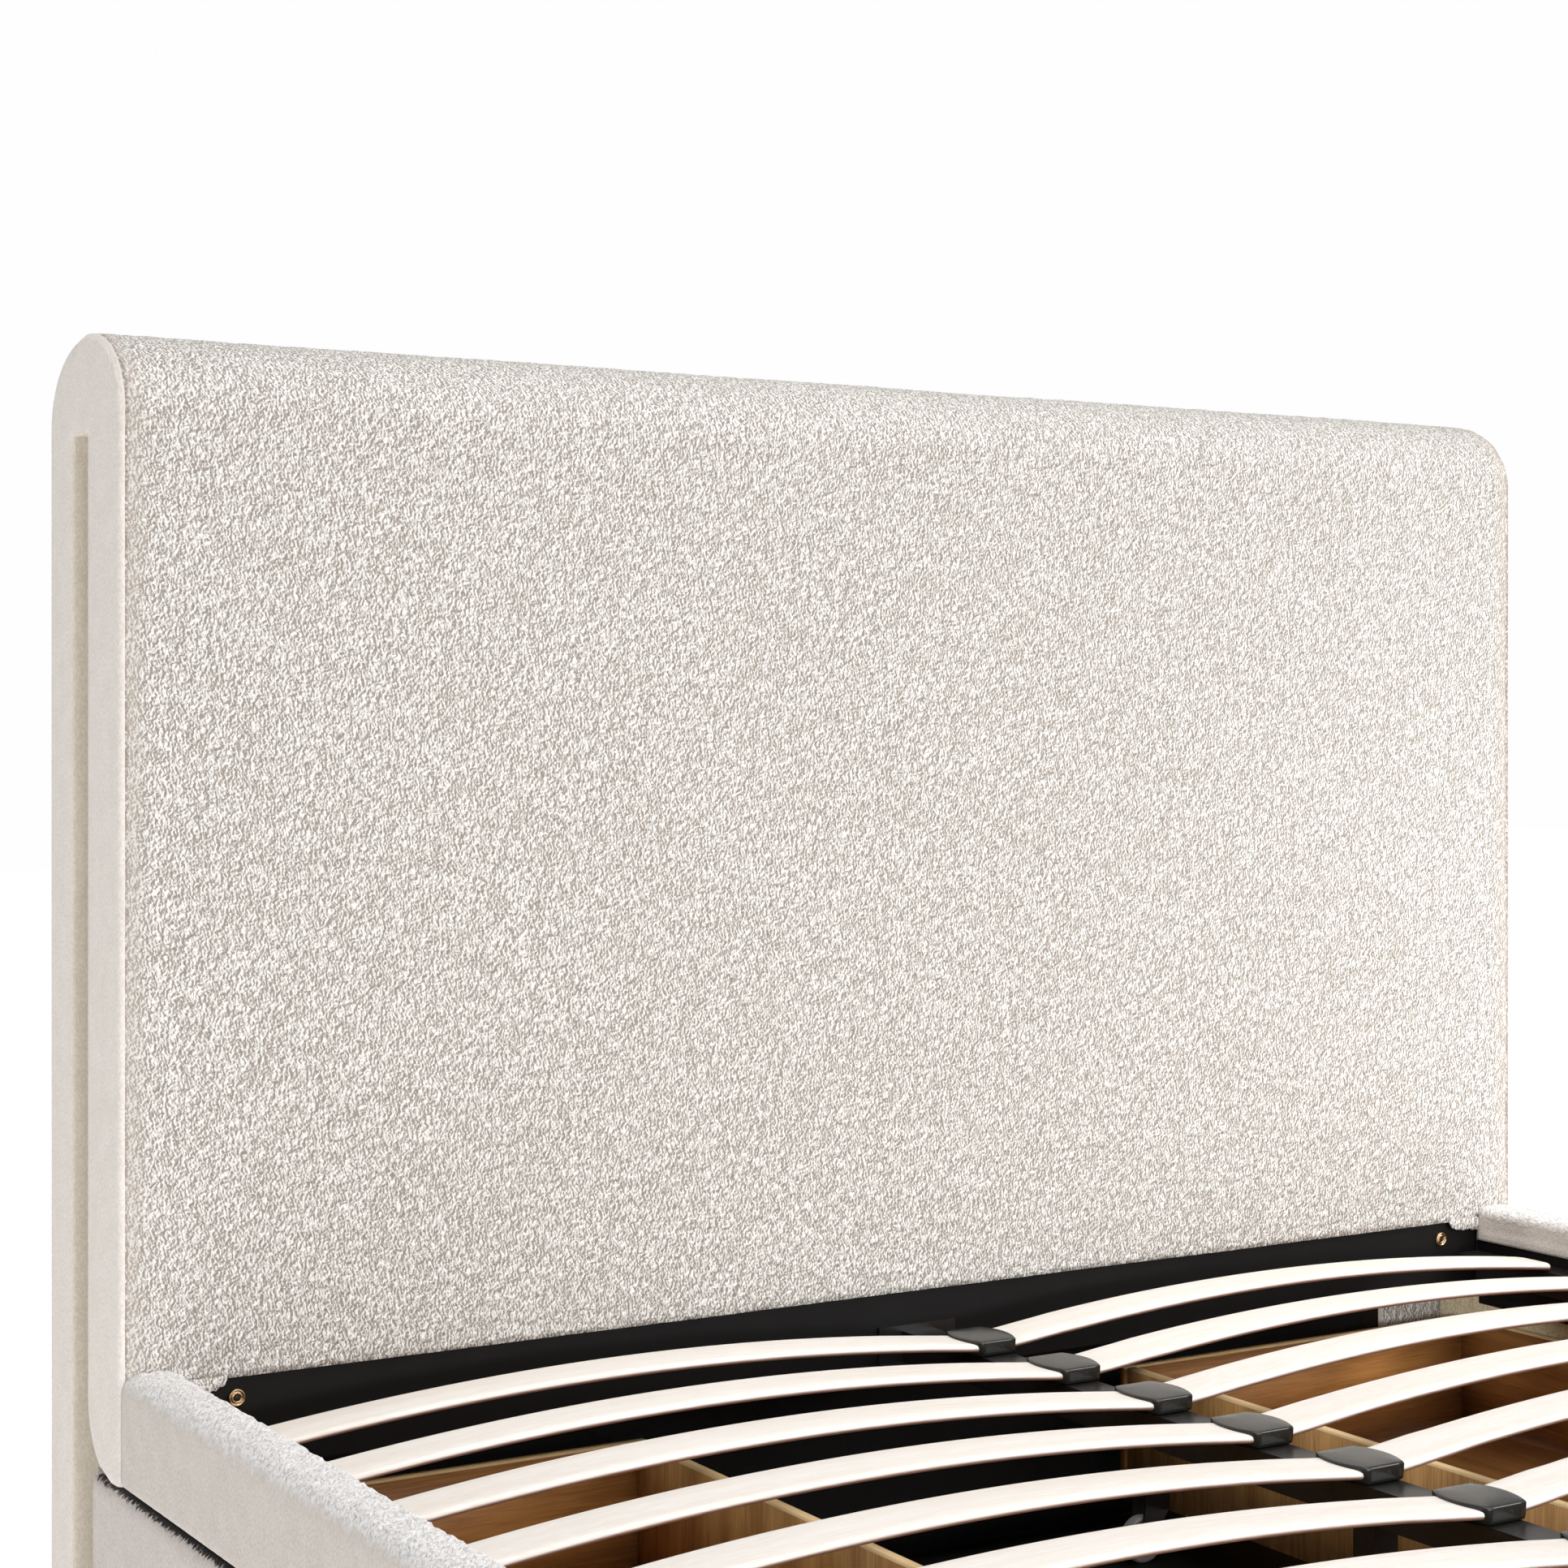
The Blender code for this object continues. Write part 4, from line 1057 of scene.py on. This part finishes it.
# %% Wheels
TYRE = [(0.0032, -0.0062), (0.0110, -0.0062), (0.0125, -0.0052), (0.0185, -0.0052), (0.0200, -0.0068),
        (0.0225, -0.0070), (0.0236, -0.0062), (0.0240, -0.0048), (0.0240, 0.0048), (0.0236, 0.0062),
        (0.0225, 0.0070), (0.0200, 0.0068), (0.0185, 0.0052), (0.0125, 0.0052), (0.0110, 0.0062),
        (0.0032, 0.0062)]
wheels = sorted(name for name in NODES if name.startswith("caster_wheel_"))
for node in wheels:
    low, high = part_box(node)
    centre = tuple((low[a] + high[a]) / 2 for a in range(3))
    body = node.replace("caster_wheel", "wheel")
    turned_piece(node + "_tyre", TYRE, centre, "Y", 40, wheel_plastic, body, [node])
print(len(wheels), "wheels")

# %% Brackets
CHEEK_GAP = 0.0082
CHEEK_THICK = 0.003
CHEEK_ROUND = 0.006
CHEEK_HALF_WIDE = 0.012
BACK_WALL_FACE = 0.2888
BACK_CHEEK_LOW, BACK_CHEEK_HIGH = 0.054, 0.080
FLOOR_FACE = 0.0518


def plate(name, outline, low, high, material, body, stands_for):
    """A flat plate: an outline in (x, z) with thickness from low to high along y."""
    points = [(x, low, z) for x, z in outline] + [(x, high, z) for x, z in outline]
    piece = add_piece(name, points, tube_faces(2, len(outline)), material, body, stands_for)
    piece.data.shade_flat()
    return piece


for node in wheels:
    low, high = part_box(node)
    x, y, z = ((low[a] + high[a]) / 2 for a in range(3))
    tag = node[len("caster_wheel_"):-2]
    sign = 1 if x > 0 else -1
    arc = [(x + CHEEK_ROUND * math.cos(a), z + CHEEK_ROUND * math.sin(a))
           for a in (math.radians(d) for d in range(180, 361, 20))]
    if abs(x) < BOX_BACK:
        wall = sign * BACK_WALL_FACE
        outline = (arc if sign > 0 else arc[::-1]) + [
            (wall, BACK_CHEEK_LOW), (wall, BACK_CHEEK_HIGH), (x - sign * 0.002, BACK_CHEEK_HIGH)]
    else:
        outline = arc + [(x + CHEEK_HALF_WIDE, FLOOR_FACE), (x - CHEEK_HALF_WIDE, FLOOR_FACE)]
    for face, way in (("a", -1), ("b", 1)):
        y0, y1 = sorted((y + way * CHEEK_GAP, y + way * (CHEEK_GAP + CHEEK_THICK)))
        plate(f"bracket_cheek_{node[13:]}_{face}", outline, y0, y1, black_steel,
              "drawer_" + tag, ["drawer_box_" + tag])
    axle = [(0.0001, -0.0122), (0.0042, -0.0122), (0.0042, -0.0112), (0.0024, -0.0112), (0.0024, 0.0112),
            (0.0042, 0.0112), (0.0042, 0.0122), (0.0001, 0.0122)]
    turned_piece(f"bracket_axle_{node[13:]}", axle, (x, y, z), "Y", 24, bright_screw,
                 "drawer_" + tag, ["drawer_box_" + tag])
print("brackets")

# %% [markdown]
# ## Floor and light
# A pale floor, a bright even surround and large soft lamps, the strongest on the right, give the
# shadowless look of a catalogue studio. Three small lamps with a narrow spread lift the foot of the
# headboard, the right rail and the corner behind it. No lamp shows to the camera.

# %% Floor
floor_finish = Finish("studio_floor", {"Roughness": 0.9, "Specular IOR Level": 0.1})
floor_place = floor_finish.place()
speckle = floor_finish.noise(floor_place, 30.0, 2.0)
floor_material = floor_finish.feed(
    Base_Color=floor_finish.mix(speckle, colour(250, 250, 250), colour(253, 253, 253)))
floor_finish.shader.inputs["Emission Color"].default_value = (1.0, 1.0, 1.0, 1.0)
floor_finish.shader.inputs["Emission Strength"].default_value = 0.60
floor_mesh = bpy.data.meshes.new("studio_floor")
FLOOR_REACH = 14.0
FLOOR_Z = -0.0005
corners = [(x * FLOOR_REACH, y * FLOOR_REACH, FLOOR_Z) for x, y in ((-1, -1), (1, -1), (1, 1), (-1, 1))]
floor_mesh.from_pydata(corners, [], [(0, 1, 2, 3)])
floor_mesh.materials.append(floor_material)
floor = bpy.data.objects.new("studio_floor", floor_mesh)
bpy.context.scene.collection.objects.link(floor)

# %% Lights
SKY_LIGHT = 0.42

world = bpy.context.scene.world or bpy.data.worlds.new("studio")
bpy.context.scene.world = world
world.use_nodes = True
sky_tree = world.node_tree
lit_sky = sky_tree.nodes["Background"]
lit_sky.inputs["Color"].default_value = (1.0, 1.0, 1.0, 1.0)
lit_sky.inputs["Strength"].default_value = SKY_LIGHT
seen_sky = sky_tree.nodes.new("ShaderNodeBackground")
seen_sky.inputs["Color"].default_value = (0.99, 0.99, 0.99, 1.0)
sky_choice = sky_tree.nodes.new("ShaderNodeMixShader")
ray_kind = sky_tree.nodes.new("ShaderNodeLightPath")
sky_tree.links.new(ray_kind.outputs["Is Camera Ray"], sky_choice.inputs["Fac"])
sky_tree.links.new(lit_sky.outputs["Background"], sky_choice.inputs[1])
sky_tree.links.new(seen_sky.outputs["Background"], sky_choice.inputs[2])
sky_tree.links.new(sky_choice.outputs["Shader"], sky_tree.nodes["World Output"].inputs["Surface"])


def soft_lamp(name, place, target, size, power, spread_degrees=180):
    lamp = bpy.data.lights.new(name, "AREA")
    lamp.spread = math.radians(spread_degrees)
    lamp.shape = "RECTANGLE"
    lamp.size, lamp.size_y = size
    lamp.energy = power
    obj = bpy.data.objects.new(name, lamp)
    obj.location = place
    obj.visible_camera = False
    obj.rotation_euler = (Vector(target) - Vector(place)).to_track_quat("-Z", "Y").to_euler()
    bpy.context.scene.collection.objects.link(obj)


soft_lamp("key", (-1.3, -3.2, 2.9), (0.2, 0.9, 0.7), (1.0, 1.0), 18)
soft_lamp("right_fill", (1.9, -1.9, 1.3), (0.75, 0.95, 0.5), (1.4, 1.4), 42)
soft_lamp("overhead", (0.0, -0.3, 3.6), (0.0, 0.0, 0.3), (2.6, 2.6), 62)
soft_lamp("low_fill", (-0.2, -1.9, 0.55), (-0.05, 0.95, 0.34), (1.6, 0.3), 1.9, 40)
soft_lamp("corner_light", (0.60, 0.84, 0.215), (0.765, 1.03, 0.180), (0.06, 0.02), 0.05, 90)
soft_lamp("rail_light", (1.5, 0.2, 1.5), (0.80, 0.75, 0.32), (0.5, 0.5), 1.2, 60)
print("lights set")
